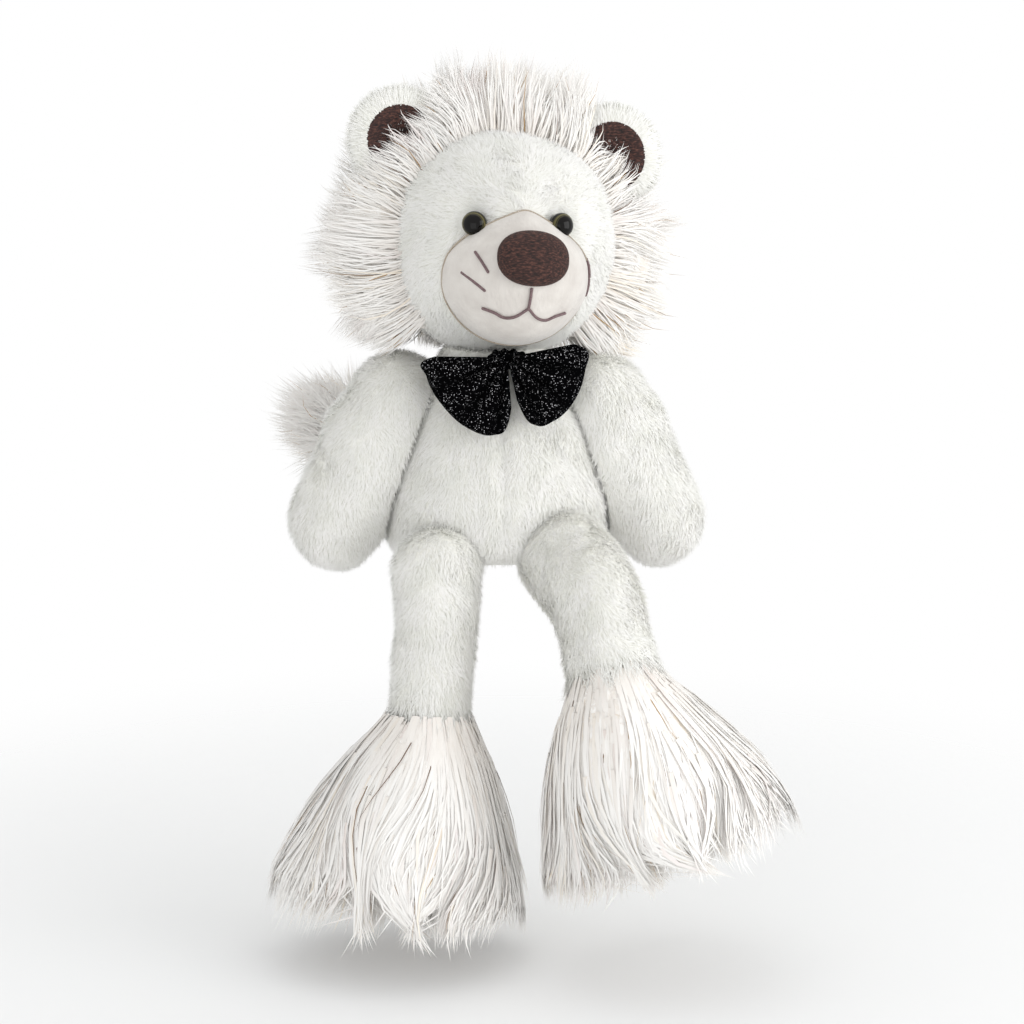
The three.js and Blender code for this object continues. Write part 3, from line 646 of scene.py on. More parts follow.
def pile_tufts(tree, colours):
    """Tufts of the sheared plush: matt polyester fibres, a little darker at the roots, with a soft
    sheen where their sides catch the light."""
    fibre = map_values(tree)
    shade = ramp(tree, fibre["X"], [(0.1, "#f4f4ef"), (0.8, "#fdfcfa")])
    # painted shade: each tuft a little darker towards its root
    root = ramp(tree, fibre["Y"], [(0, "#f2f2ee"), (0.6, "#ffffff")])
    return {
        "Base Color": mixed(tree, 1.0, shade, root, "MULTIPLY"),
        "Roughness": 0.8,
        "Sheen Weight": 0.4,
        "Sheen Roughness": 0.5,
    }


def long_hair(tree, colours):
    """Long acrylic hair, steamed straight: silky white, cream and greyish pink locks, with thin gold
    and copper hairs; roots lie in the shade of the rest."""
    fibre = map_values(tree)
    shade = ramp(tree, fibre["X"], [
        (0.05, colours.rose), (0.3, colours.hair), (0.6, colours.hair), (0.84, colours.cream),
        (0.9, colours.cream), (0.91, colours.gold), (0.95, colours.gold), (0.97, colours.copper),
    ])
    root = ramp(tree, fibre["Y"], [(0, "#f6f2ee"), (0.5, "#ffffff")])
    return {
        "Base Color": mixed(tree, 1.0, shade, root, "MULTIPLY"),
        "Roughness": 0.5,
        "Specular IOR Level": 0.4,
        "Sheen Weight": 0.3,
        "Sheen Roughness": 0.4,
    }


def hair_backing(tree, colours):
    """The knitted backing that long hair grows from, seen only deep between the locks: cream and rough."""
    streaks = noise(tree, 3 * MM, stretch=(1, 1, 0.2))
    tone = ramp(tree, streaks, [(0.35, "#efe8e0"), (0.65, colours.hair)])
    return {"Base Color": tone, "Roughness": 0.95, "Normal": bump(tree, streaks, 1 * MM)}


def velboa(tree, colours):
    """Velboa, a velvet with pile of about a millimetre: warm pale grey, matt, with fine brushed
    streaks and a light edge."""
    fine = noise(tree, 1.6 * MM, 3.0, stretch=(1, 1, 0.45))
    return {
        "Base Color": ramp(tree, noise(tree, 9 * MM), [(0.3, "#d2ccc6"), (0.7, colours.velboa)]),
        "Roughness": 0.9,
        "Sheen Weight": 0.45,
        "Sheen Roughness": 0.4,
        "Normal": bump(tree, fine, 0.5 * MM),
    }


def brown_velvet(tree, colours):
    """Brown velboa of the nose and the ears' linings: its pile lies in fine streaks that go from dark
    to reddish where it is brushed."""
    streaks = noise(tree, 0.65 * MM, 3.0, stretch=(0.35, 1, 1))
    stops = [(0.32, "#170d0b"), (0.5, colours.brown), (0.7, "#5f3d33")]
    return {
        "Base Color": ramp(tree, streaks, stops),
        "Roughness": 0.85,
        "Sheen Weight": 0.06,
        "Sheen Roughness": 0.35,
        "Sheen Tint": linear("#a88878"),
        "Normal": bump(tree, streaks, 0.45 * MM),
    }


def grained(tree, size, detail, dark, pale, roughness, depth):
    """A plain material with a grain of about one size, dark to pale, as deep as the depth."""
    grain = noise(tree, size, detail)
    tone = ramp(tree, grain, [(0.3, dark), (0.7, pale)])
    return {"Base Color": tone, "Roughness": roughness, "Normal": bump(tree, grain, depth)}


def folded_seam(tree, colours):
    """The folded edge of the muzzle's cloth in its seam: its knitted back shows, a dull brown."""
    return grained(tree, 0.8 * MM, 2.0, "#a09484", colours.seam, 0.9, 0.2 * MM)


def embroidery(tree, colours):
    """Twisted rayon embroidery thread: greyish mauve with a slight gloss across its twist."""
    return grained(tree, 0.7 * MM, 1.0, "#5f4a4c", colours.thread, 0.5, 0.2 * MM)


def moulded_washer(tree, colours):
    """Moulded nylon washer behind an eye: milky, with the faint grain of the mould."""
    return grained(tree, 0.8 * MM, 2.0, "#dcdad1", "#ebe9e1", 0.45, 0.05 * MM)


def glitter_cloth(tree, colours):
    """Black knit with silver flakes glued on: flakes up to half a millimetre wide, each with its own
    brightness, and duller down in the folds."""
    white, black = "#ffffff", "#000000"
    place = add_node(tree, "ShaderNodeTexCoord").outputs["Object"]
    cells = add_node(tree, "ShaderNodeTexVoronoi", {"Vector": place, "Scale": 1 / (0.55 * MM)}).outputs
    split = add_node(tree, "ShaderNodeSeparateColor", {"Color": cells["Color"]})
    flake = ramp(tree, split.outputs["Red"], [(0.74, black), (0.96, white)])
    near = ramp(tree, cells["Distance"], [(0.25, white), (0.45, black)])
    # painted light and shade: flakes brighter on the folds' ridges and duller in their valleys
    share = product(tree, product(tree, flake, near), map_values(tree)["Y"])
    return {
        "Base Color": mixed(tree, share, colours.bow, colours.glitter),
        "Roughness": 0.55,
        "Specular IOR Level": 0.0,
        "Normal": bump(tree, cells["Distance"], 0.3 * MM, 0.6),
    }


def eye_plastic(tree, colours):
    """Injection moulded clear dome over a black pupil and an olive and gold ring, polished."""
    black = "#0a0807"
    tone = ramp(tree, map_values(tree)["Y"], [
        (0.0, black), (0.66, black), (0.7, "#4a4630"), (0.74, black), (0.79, colours.iris),
        (0.86, "#4f4a2e"), (0.9, black),
    ])
    return {"Base Color": tone, "Roughness": 0.08, "Specular IOR Level": 0.2}


FINISHES = {  # each material's name, and the function that wires its nodes
    "plush": ("sheared_polyester_plush", sheared_plush),
    "tufts": ("polyester_pile_tufts", pile_tufts),
    "hair": ("long_acrylic_hair", long_hair),
    "backing": ("knitted_hair_backing", hair_backing),
    "velboa": ("brushed_velboa", velboa),
    "brown": ("brown_brushed_velboa", brown_velvet),
    "seam": ("folded_velboa_edge", folded_seam),
    "thread": ("twisted_rayon_thread", embroidery),
    "bow": ("black_knit_with_glued_glitter", glitter_cloth),
    "eye": ("polished_safety_eye", eye_plastic),
    "washer": ("moulded_nylon", moulded_washer),
}
MADE = {}


def finish_of(name):
    """The material of that short name, made on its first use."""
    if name not in MADE:
        title, wire = FINISHES[name]
        MADE[name], tree = new_material(title)
        shader = add_node(tree, "ShaderNodeBsdfPrincipled", wire(tree, bpy.context.scene.lion_colours))
        add_node(tree, "ShaderNodeOutputMaterial", {"Surface": shader.outputs["BSDF"]})
    return MADE[name]


# Forms of the lion

def downward(points):
    """Combing straight down."""
    return np.broadcast_to([0, 0, -1.0], points.shape)


def body_grid(rows=80, columns=120):
    """The pear of the body: rings of the table joined by cubics, each an ellipse that leans forward,
    with a low groove up the middle of the belly and gentle lumps of filling."""
    height = np.linspace(0, 1, rows)
    height = np.concatenate([[0, 0], height, [1]])
    table = body_ring(height)
    table[0, :2] = 0
    table[1, :2] *= 0.93
    table[-1, :2] = 0
    turn = turns(columns)
    x = table[:, :1] * BODY_HALF[0] * np.cos(turn)
    y = table[:, 1:2] * BODY_HALF[1] * np.sin(turn) - 2 * BODY_HALF[1] * table[:, 2:3]
    z = height[:, None] * BODY_HEIGHT
    grid = xyz(x, y, z)
    belly = np.exp(-((x / 2.6) ** 2)) * (y < 0) * rise(z, 4, 20) * rise(-z, -88, -70)
    push = (1.1 * lumps(grid, 34, 5) - 1) * rise(z, 2, 14) - 1.6 * belly
    return pushed(grid, push)


def head_grid():
    """The head's full ball, pressed in around and over each eye, with gentle lumps."""
    grid = ball(np.zeros(3), HEAD_HALF, HEAD_FULLNESS)
    dent = 0
    for across, up in EYES.values():
        eye = np.array([across, up + 3])
        away = ((grid[..., 0] - eye[0]) / 7) ** 2 + ((grid[..., 2] - eye[1]) / 10) ** 2
        dent = dent + np.exp(-away) * (grid[..., 1] < 0)
    return pushed(grid, 0.8 * lumps(grid, 30, 8) - 4.5 * dent - 1)


def narrowed(height):
    """The share of its width that the muzzle keeps at a height from -1 to 1: it narrows by the cube."""
    return 1 - MUZZLE_NARROWING * np.maximum(height, 0) ** 3


def muzzle_point(across, up, lift=0.0):
    """Points over the muzzle, across and up from its middle, lifted off it."""
    half = MUZZLE_HALF + lift
    width = half[0] * narrowed(up / half[2])
    depth = half[1] * np.sqrt(np.maximum(1 - (across / width) ** 2 - (up / half[2]) ** 2, 0))
    return MUZZLE_MIDDLE + xyz(across, -depth, up)


def head_front(x, z):
    """The point on the head's front at x and z, and the way out there."""
    width = (1 - (abs(z) / HEAD_HALF[2]) ** HEAD_FULLNESS) ** (1 / HEAD_FULLNESS)
    y = -HEAD_HALF[1] * math.sqrt(width ** 2 - (x / HEAD_HALF[0]) ** 2)
    point = np.array([x, y, z])
    return point, unit(point / HEAD_HALF ** 2)


def arm_grid(side):
    """A stuffed tube from shoulder to hand, pressed flat against the flank: below the shoulder no point
    lies further in than just outside the body's width at its height."""
    mirror = np.array([side, 1, 1])
    grid = tube(np.stack([SHOULDER, (SHOULDER + HAND) / 2, HAND]), ARM_SHARES * ARM_RADIUS)
    height = np.clip(grid[..., 2] / BODY_HEIGHT, 0, 1)
    ring = body_ring(height)
    away = grid[..., 1] / (BODY_HALF[1] * ring[..., 1])
    round_body = 1 - ARM_WRAP * (1 - np.sqrt(np.clip(1 - away ** 2, 0.2, 1)))
    width = ring[..., 0] * BODY_HALF[0] * round_body + ARM_GAP
    free = rise(grid[..., 0], 44, 60)
    pressed = np.maximum(grid[..., 0], width)
    grid[..., 0] = np.where(grid[..., 2] < ARM_TOP, pressed, grid[..., 0])
    grid = pushed(grid, (lumps(grid * mirror, 30, 11 + side) - PILE_STAND) * free)
    grid[..., 0] = np.where(grid[..., 2] < ARM_TOP, np.maximum(grid[..., 0], width), grid[..., 0])
    return grid * mirror


def leg_grid(side):
    """A stuffed tube from hip to ankle that swells a little at the hip."""
    knots = LEGS[side][:3]
    radii = HIP_RADIUS + (ANKLE_RADIUS - HIP_RADIUS) * np.array([0, 0.3, 0.6, 0.9, 1])
    grid = tube(knots, radii)
    stand = PILE_STAND if side == "right" else 0
    return pushed(grid, 0.9 * lumps(grid, 28, 17 + SIDES[side]) - stand)


def cupped(radius):
    """How far back an ear's cup lies at each radius."""
    return EAR_CUP * np.exp(-((radius / CUP_RADIUS) ** 2))


def disc_grid(radius, depth, columns, side):
    """Rings of the radii and depths given, at an ear's place."""
    turn = turns(columns)
    return xyz(radius * np.cos(turn), depth, radius * np.sin(turn)) + EAR_PLACE * [side, 1, 1]


def ear_grid(side):
    """A padded disc, cupped on its front: the radius follows the sine of an angle that runs from the
    front's middle over the rim to the back's, and the thickness its cosine."""
    angle = np.linspace(0, np.pi, 41)[:, None]
    radius = EAR_RADIUS * np.sin(angle) ** 0.8
    depth = -EAR_THICKNESS / 2 * np.cos(angle) + cupped(radius) * rise(np.cos(angle), -0.2, 0.4)
    return disc_grid(radius, depth, 72, side)


def lining_grid(side):
    """A thin disc of velvet that follows the ear's cup."""
    angle = np.linspace(0, np.pi, 25)[:, None]
    radius = LINING_RADIUS * np.sin(angle) ** 0.7
    share = np.arcsin(np.clip(radius / EAR_RADIUS, 0, 1) ** 1.25)
    depth = -EAR_THICKNESS / 2 * np.cos(share) + cupped(radius) - np.cos(angle) - 0.3
    return disc_grid(radius, depth, 64, side)


def bell_frame(side, way):
    """The middle and the ways of the two axes of a foot's bell of hair, from 0 at the ankle to 1 at the
    tips. Its path is a cubic curve that starts along the leg and ends the way the hair hangs."""
    knots = LEGS[side]
    ahead = unit(np.gradient(through([0, 0.5, 1], knots[:3], np.linspace(0, 1, 60)), axis=0))[-1]
    reach = np.linalg.norm(knots[3] - knots[2]) / 3
    start = knots[2] + 2 * ahead
    first, last = start + ahead * reach, knots[3] - unit(HANG[side]) * reach
    t = way[..., None]
    near = start * (1 - t) ** 3 + 3 * first * t * (1 - t) ** 2
    middle = near + 3 * last * t ** 2 * (1 - t) + knots[3] * t ** 3
    turning = (first - start) * (1 - t) ** 2 + 2 * (last - first) * t * (1 - t)
    tangent = unit(turning + (knots[3] - last) * t ** 2)
    along = unit(np.cross(tangent, [1.0, 0, 0]))
    across = np.cross(along, tangent)
    return middle, across, along


def bell_radii(way):
    """The half width and half depth of the bell at each way."""
    swell = through(BELL_SHARES[:, 0], BELL_SHARES[:, 1:], np.clip(way, 0, BELL_WIDEST))
    swell = swell + 0.5 * np.maximum(way - BELL_WIDEST, 0)[..., None]
    return ANKLE_RADIUS + 1 + (BELL_HALF - ANKLE_RADIUS - 1) * swell


def bell_point(side, turn, way, layer):
    """Points of a foot's outside, by the turn about the leg and the way from the ankle to the hem, and
    their way from the foot's middle line. Rounded locks swell between creases; both wander down the
    foot, and near the hem every lock draws together to a point."""
    middle, across, along = bell_frame(side, way)
    swell = 1 + (0.01 + 0.09 * way) * (lock_swell(turn) - 0.75)
    radii = bell_radii(np.maximum(way, 0)) * (layer * swell)[..., None]
    spacing = 2 * np.pi / FOOT_LOCKS
    centre = (np.floor(turn / spacing) + 0.5) * spacing
    angle = turn + (centre - turn) * 0.6 * rise(way, 0.72, 1)
    angle = angle + (0.22 * np.sin(3 * turn + 5 * way) + 0.1 * np.sin(7 * turn - 6 * way)) * way
    ring = across * (np.cos(angle) * radii[..., 0])[..., None]
    ring = ring + along * (np.sin(angle) * radii[..., 1])[..., None]
    return middle + ring, ring


def lock_swell(turn):
    """How far a foot's locks swell at each turn: broad round ones with finer ones on them, from 0 to 1."""
    broad = np.abs(np.sin(turn * FOOT_LOCKS / 2))
    return 0.65 * broad + 0.35 * np.abs(np.sin(turn * FOOT_LOCKS * 1.5 + 1))


def bell_grid(side):
    """The backing under a foot's hair: the bell a little drawn in, closed at both ends."""
    way = np.concatenate([[0.02], np.linspace(0.02, 0.8, 36), [0.86]])[:, None]
    layer = 0.97 - 0.12 * rise(way, 0.6, 0.86)
    points, ring = bell_point(side, turns(216), way, layer)
    middle = points - ring
    points[[0, -1]] = middle[[0, -1]]
    return points


def mane_point(place, angle, swell=1.0):
    """Points of the mane's outside: the ring table gives a radius and a depth at each place, which runs
    from 0 at the face's edge to 1 at the back, and the angle turns from the top about the face's axis."""
    table = evenly(MANE_RINGS, np.asarray(place, float))
    radius, y = MANE_RADIUS * table[..., 0] * swell, table[..., 1]
    return xyz(radius * np.sin(angle), y, radius * np.cos(angle))


def mane_grid():
    """The backing under the mane: its outside drawn in, more at the back and before the ears, closed at
    the face and the back, and cut off above the shoulders."""
    place = np.concatenate([[0.1], np.linspace(0.1, 1, 44), [1]])[:, None]
    angle = turns(96)
    turned = np.abs(np.where(angle > np.pi, 2 * np.pi - angle, angle) - EAR_ANGLE)
    ears = rise(-turned, -math.radians(32), -math.radians(18)) * rise(-place, -0.45, -0.3)
    behind = rise(place, 0.2, 0.5)
    grid = mane_point(place, angle, 0.85 - 0.2 * ears - 0.12 * behind)
    grid[..., 1] = grid[..., 1] * (0.92 - 0.14 * behind)
    grid[[0, -1]] = grid[[0, -1]].mean(1, keepdims=True)
    grid[..., 2] = np.maximum(grid[..., 2], MANE_HEM + 6)
    return grid


def mane_roots(front, count, rng):
    """Where the mane's hairs start: their places and angles on the mane, and their points on the head,
    from the face's rim to the back."""
    angle = rng.uniform(-1, 1, count)
    if front:
        place = rng.uniform(0, MANE_FRONT, count)
        angle = angle * MANE_FRONT_ANGLE
    else:
        place = rng.uniform(MANE_BACK, 1, count) ** 0.9
        angle = angle * np.pi
    y = HEAD_HALF[1] * np.sin(-0.33 + 1.85 * place)
    radius = np.sqrt(1 - (y / HEAD_HALF[1]) ** 2)
    return place, angle, xyz(HEAD_HALF[0] * radius * np.sin(angle), y, HEAD_HALF[2] * radius * np.cos(angle))


def mane_tips(front, place, angle, root, rng):
    """Where the mane's hairs end: on the mane's outside, drooping behind the face, and not far below
    the hem. Before the ears nearly all hairs are short."""
    count = len(root)
    aim = np.minimum(0.14 + 0.86 * place + 0.05 * rng.normal(size=count), 1)
    swell = (1.01 if front else 1.05) + 0.07 * rng.normal(size=count) + 0.05 * lumps(root, 15, 44)
    swell = bpy.context.scene.lion_sizes.mane_length / (MANE_LENGTH * MM) * swell
    tip = mane_point(aim, angle + 0.1 * rng.normal(size=count), swell) + 5 * drift(root, 12, 40)
    tip += [0, 0, MANE_DROOP] * (rise(place, 0.3, 0.9) * rng.uniform(0.4, 1.3, count))[:, None]
    hem = MANE_HEM - (9 if front else 4) + 2 * rng.normal(size=count)
    cut = np.clip((hem - root[:, 2]) / np.minimum(tip[:, 2] - root[:, 2], -1e-3), 0.1, 1)
    tip = root + (tip - root) * np.where(tip[:, 2] < hem, cut, 1)[:, None]
    from_ear = np.abs(np.abs(angle) - EAR_ANGLE)
    near_ear = rise(-from_ear, -math.radians(27), -math.radians(18)) * rise(-place, -0.32, -0.26)
    short = near_ear * (rng.random(count) > 0.1)
    return root + (tip - root) * (1 - short * rng.uniform(0.3, 0.66, count))[:, None]


def mane_paths(front, count, rng):
    """Hairs of the mane in the head's frame, and the way out at each. Between root and tip a curve of
    three points first leaves along the head's way out, and then the hairs draw into clumps."""
    place, angle, root = mane_roots(front, count, rng)
    tip = mane_tips(front, place, angle, root, rng)
    out = unit(root / HEAD_HALF ** 2)
    reach = np.linalg.norm(tip - root, axis=1, keepdims=True)
    bend = root + reach * (0.3 * out + 0.25 * unit(tip - root))
    t = np.linspace(0, 1, 5)[None, :, None]
    paths = (root - 2 * out)[:, None] * (1 - t) ** 2 + 2 * bend[:, None] * t * (1 - t) + tip[:, None] * t ** 2
    paths = paths + 2.6 * drift(root, 12, 47)[:, None] * np.sin(t * 4.5) * t ** 0.5
    radial = np.stack([np.sin(angle), np.zeros(count), np.cos(angle)], -1)
    face = unit(radial * 0.5 - np.array([0, 1.0, 0])) if front else out
    return clumped(paths, MANE_CLUMPS, rng), face


def foot_paths(side, count, rng):
    """Hairs of a foot, and the way out at each: most lie close on the backing, from the ankle or below
    it to the hem, some hang free of it, and some fill the inside down to the hem."""
    turn = rng.uniform(0, 2 * np.pi, count)
    inner = rng.random(count) < FOOT_INNER
    free = rng.random(count) < FOOT_FREE
    layer = np.where(free, rng.uniform(0.98, 1.02, count), rng.uniform(0.974, 0.984, count))
    layer = np.where(inner, 0.93 * rng.random(count) ** 0.5, layer)
    first = np.where(inner, 0.56, 0.62 * rng.random(count) ** 1.3) - 0.04 * rng.random(count)
    hem = 0.9 + 0.09 * np.abs(np.sin(turn * FOOT_LOCKS / 2)) + 0.025 * rng.normal(size=count)
    last = np.minimum(first + rng.uniform(0.45, 0.9, count), hem)
    steps = np.linspace(0, 1, 6)
    way = first[:, None] + (last - first)[:, None] * steps
    turns = turn[:, None] + 0.13 * rng.normal(size=(count, 1)) * steps
    paths, ring = bell_point(side, turns, way, layer[:, None] * (0.985 + 0.03 * steps))
    out = unit(ring[:, 2])
    sway = 2.5 * drift(paths[:, 0], 12, 50) + 0.5 * rng.normal(size=(count, 3))
    return paths + flattened(sway, out, 0.8)[:, None] * (steps ** 0.8)[:, None], out


def tuft_paths(rng):
    """Hairs of the tail's tuft: they leave the last stretch of the tail and fan out in a flat brush."""
    sizes = bpy.context.scene.lion_sizes
    count = fewer(sizes.tuft_count)
    line = unit(TUFT_TIP - TAIL[-1])
    up = unit(np.cross([0, 1.0, 0], line))
    root = TAIL[-1] - line * rng.uniform(-4, 14, (count, 1)) + 3.5 * unit(rng.normal(size=(count, 3)))
    fan = rng.uniform(-1.2, 1.2, (count, 1))
    stray = np.array([0, 1.0, 0]) * rng.normal(0, 0.25, (count, 1))
    way = unit(line * np.cos(fan) + up * np.sin(fan) + stray)
    length = sizes.tuft_length / MM * rng.uniform(0.65, 1.05, (count, 1)) * (1 - 0.22 * np.abs(fan))
    steps = np.linspace(0, 1, 5)[None, :, None]
    bend = 0.12 * drift(root, 8, 60)[:, None] * steps ** 2
    paths = root[:, None] + length[:, None] * (way[:, None] * steps + bend)
    return clumped(paths, TUFT_CLUMPS, rng), unit(way + [0, -1.2, 0])


def thread_grid(path, radius=THREAD_RADIUS):
    """A round thread along a path."""
    return tube(path, np.full(4, radius), rows=12 * len(path), columns=10, reference=(0, 1, 0.2))


# Pieces

def soft_piece(name, grid, finish, body, nodes):
    """A stuffed piece that stands for its skin and filling."""
    piece = shell(name, grid, finish_of(finish), body)
    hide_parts(*nodes)
    return piece


def make_body():
    """The body, its pile and the stitch that closes its back."""
    grid = body_grid()
    soft_piece("body_plush", grid, "plush", "body", ["body_skin", "body_filling"])
    for name, side in (("front", -1), ("back", 1)):
        pile(f"body_pile_{name}", grid, downward, "body",
             keep=lambda spots: (spots[:, 2] > 2.5) & (spots[:, 1] * side > 0))
    make_closing_seam()


def make_closing_seam():
    """The stitch that closes the back, a ladder of short rungs."""
    bars = []
    for z in RUNG_HEIGHTS:
        _, half, lean = body_ring(np.array([z / BODY_HEIGHT]))[0]
        y = half * BODY_HALF[1] - 2 * BODY_HALF[1] * lean + 0.7
        rung = np.array([[across, y, z] for across in (-RUNG_REACH, 0, RUNG_REACH)])
        bars.append(closed(thread_grid(rung, RUNG_RADIUS)))
    joined_piece("back_ladder_stitch", bars, "thread", "body", ["closing_seam"])


def joined_piece(name, parts, finish, body, nodes):
    """Several closed surfaces as one piece that stands for CAD nodes."""
    points, quads, fans, first = [], [], [], 0
    for part_points, part_quads, part_fans in parts:
        points.append(part_points)
        quads.append(part_quads + first)
        fans.append(part_fans + first)
        first += len(part_points)
    faces = [np.vstack(quads), np.vstack(fans)]
    piece = mesh_piece(name, np.vstack(points), faces, finish_of(finish), body)
    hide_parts(*nodes)


def outside_face(points):
    """True where the head's pile shows: not under the muzzle, nor in the eyes, nor under the mane."""
    away = (points - MUZZLE_MIDDLE) / (MUZZLE_HALF - 0.5)
    away[:, 0] /= narrowed(away[:, 2])
    in_muzzle = (away ** 2).sum(-1) < 1
    kept = ~in_muzzle & (points[:, 1] < 14)
    for across, up in EYES.values():
        away = np.hypot(points[:, 0] - across, points[:, 2] - up)
        kept &= (away > EYE_RADIUS * 0.96) | (points[:, 1] > 0)
    return kept


def from_nose(points):
    """Combing away from above the nose, as on a face, and a little down."""
    return unit(points - MUZZLE_MIDDLE - [0, 0, 22]) + [0, 0, -0.15]


def make_head():
    """The head and its pile."""
    grid = head_grid()
    soft_piece("head_plush", on_head(grid), "plush", "head", ["head_skin", "head_filling"])
    pile("head_pile", grid, from_nose, "head", keep=outside_face, place=on_head)


def make_muzzle():
    """The muzzle and the nose, sewn of velvety cloth."""
    grid = ball(np.zeros(3), MUZZLE_HALF)
    grid[..., 0] *= narrowed(grid[..., 2] / MUZZLE_HALF[2])
    grid = pushed(grid + MUZZLE_MIDDLE, 0.35 * lumps(grid, 22, 70))
    nodes = ["muzzle_skin", "muzzle_filling"]
    soft_piece("muzzle_velboa", on_head(grid), "velboa", "head", nodes)
    soft_piece("nose_velvet", on_head(nose_grid()), "brown", "head", ["nose"])


def nose_grid():
    """The padded nose, which leans back with the muzzle's slope."""
    slope = -math.atan2(NOSE_LIFT, MUZZLE_HALF[2])
    c, s = math.cos(slope), math.sin(slope)
    nose = ball(np.zeros(3), NOSE_HALF, 2.25, 40, 72)
    return nose @ np.array([[1, 0, 0], [0, c, -s], [0, s, c]]).T + muzzle_point(0.0, NOSE_LIFT)


def seam_path():
    """Where the muzzle comes out of the head's pile, all round it: along each direction from the
    muzzle's middle, the last place at which the muzzle still stands out of the pile."""
    turn = np.linspace(0, 2 * np.pi, 61)[:, None]
    share = np.linspace(0.3, 0.999, 300)[None, :]
    up = MUZZLE_HALF[2] * share * np.sin(turn)
    across = MUZZLE_HALF[0] * share * np.cos(turn) * narrowed(up / MUZZLE_HALF[2])
    points = muzzle_point(across, up, 0.2)
    width = (1 - (np.abs(points[..., 2]) / HEAD_HALF[2]) ** HEAD_FULLNESS) ** (2 / HEAD_FULLNESS)
    head = -HEAD_HALF[1] * np.sqrt(np.maximum(width - (points[..., 0] / HEAD_HALF[0]) ** 2, 0))
    before = points[..., 1] < head - SEAM_LIFT
    place = before.shape[1] - 1 - np.argmax(before[:, ::-1], axis=1)
    return points[np.arange(len(place)), place]


def make_stitches():
    """The mouth and the whiskers, embroidered threads that lie on the muzzle, and the muzzle's seam."""
    top = NOSE_LIFT - NOSE_HALF[2] - 1
    cleft = muzzle_point(np.zeros(3), np.linspace(top, -LIP_DROP, 3), THREAD_LIFT)
    parts = [closed(on_head(thread_grid(cleft)))]
    for side in SIDES.values():
        sag = -LIP_DROP - MOUTH_SAG * SMILE[:, 1]
        lip = muzzle_point(side * MOUTH_REACH * SMILE[:, 0], sag, THREAD_LIFT)
        parts.append(closed(on_head(thread_grid(lip))))
    joined_piece("mouth_embroidery", parts, "thread", "head", ["mouth_stitch"])
    seam = thread_grid(seam_path(), SEAM_RADIUS)
    shell("muzzle_sewn_seam", on_head(seam), finish_of("seam"), "head")
    way = np.linspace(0, 1, 4)
    for name, rows in WHISKERS.items():
        for row, (reach, start, lean, drop) in rows.items():
            path = muzzle_point(SIDES[name] * (reach - lean * way), start - drop * way, THREAD_LIFT)
            parts = [closed(on_head(thread_grid(path)))]
            joined_piece(f"whisker_{row}_{name}_embroidery", parts, "thread", "head",
                         [f"whisker_{row}_{name}"])


def eye_dome(place):
    """The closed surface of a safety eye, and its map, whose V runs from a little below the middle to
    the rim."""
    point, out = head_front(*place)
    angle = np.concatenate([np.linspace(0, np.pi / 2, 20), [np.pi / 2, np.pi / 2]])
    radius = EYE_RADIUS * np.sin(angle)
    height = EYE_DOME * np.cos(angle) + 0.3
    radius[-1] = 0
    height[-2:] = EYE_FOOT
    across = unit(np.cross(out, [0, 0, 1.0]))
    up = np.cross(across, out)
    turn = turns(EYE_COLUMNS)[..., None]
    ring = np.cos(turn) * across + np.sin(turn) * up
    grid = point + ring * radius[:, None, None] + out * height[:, None, None]
    flat = (ring * (radius / EYE_RADIUS)[:, None, None])[1:-1] + 0.14 * up
    v = np.concatenate([np.linalg.norm(flat, axis=-1).ravel() * 0.88, [0.12, 1]])
    u = np.concatenate([np.tile(np.arange(EYE_COLUMNS) / EYE_COLUMNS, len(flat)), [0.5, 0.5]])
    return closed(on_head(grid)), np.stack([u, v], -1)


def make_eyes():
    """The two safety eyes, and the finish of the washers behind them."""
    for name, place in EYES.items():
        (points, quads, fans), uv = eye_dome(place)
        piece = mesh_piece(f"eye_{name}_dome", points, [quads, fans], finish_of("eye"), "head", uv)
        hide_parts(f"eye_{name}")
        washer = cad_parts[f"eye_washer_{name}"]
        washer.data.materials.clear()
        washer.data.materials.append(finish_of("washer"))


def make_ears():
    """The ears with their linings and pile."""
    for name, side in SIDES.items():
        grid = ear_grid(side)
        middle = EAR_PLACE * [side, 1, 1]
        soft_piece(f"ear_{name}_plush", on_head(grid), "plush", "head", [f"ear_{name}"])
        soft_piece(f"ear_{name}_velvet", on_head(lining_grid(side)), "brown", "head",
                   [f"ear_lining_{name}"])

        def off_lining(points, middle=middle):
            away = np.hypot(points[:, 0] - middle[0], points[:, 2] - middle[2])
            return (points[:, 1] > middle[1] - 1) | (away > LINING_RADIUS - 1.5)

        def outward(points, middle=middle):
            return points - middle

        pile(f"ear_{name}_pile", grid, outward, "head", off_lining, 0.9, on_head)


def make_mane():
    """The mane: its backing, the hair round the face and the hair over the back of the head."""
    backing = shell("mane_backing", on_head(mane_grid()), finish_of("backing"), "head")
    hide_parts("mane")
    hairs_wanted = fewer(bpy.context.scene.lion_sizes.mane_count)
    for name, front in (("mane_front", True), ("mane_back", False)):
        rng = np.random.default_rng(len(name))
        long_piece(f"{name}_hair", *mane_paths(front, hairs_wanted, rng), "head", 0.015, rng, on_head)


def fewer(count):
    """A count of hairs, or a quarter of it for a quick build."""
    return count // 1


def long_piece(name, paths, out, body, gold, rng, place=None, lock_width=None):
    """A piece of long hair; its gold and copper hairs are thin. Where locks have a width of their own,
    thin hairs lie among them."""
    count = len(paths)
    shades, metal = hair_shades(count, paths[:, 0], gold, rng)
    if lock_width:
        width = lock_width * np.where(rng.random(count) < THIN_SHARE, THIN_WIDTH, 1)
    else:
        width = bpy.context.scene.lion_sizes.hair_width / MM * 1
    widths = np.where(metal, METAL_WIDTH, width * rng.uniform(0.6, 1.15, count))
    return hairs(name, paths, widths, shades, out, finish_of("hair"), body, HAIR_SOFTNESS, place)


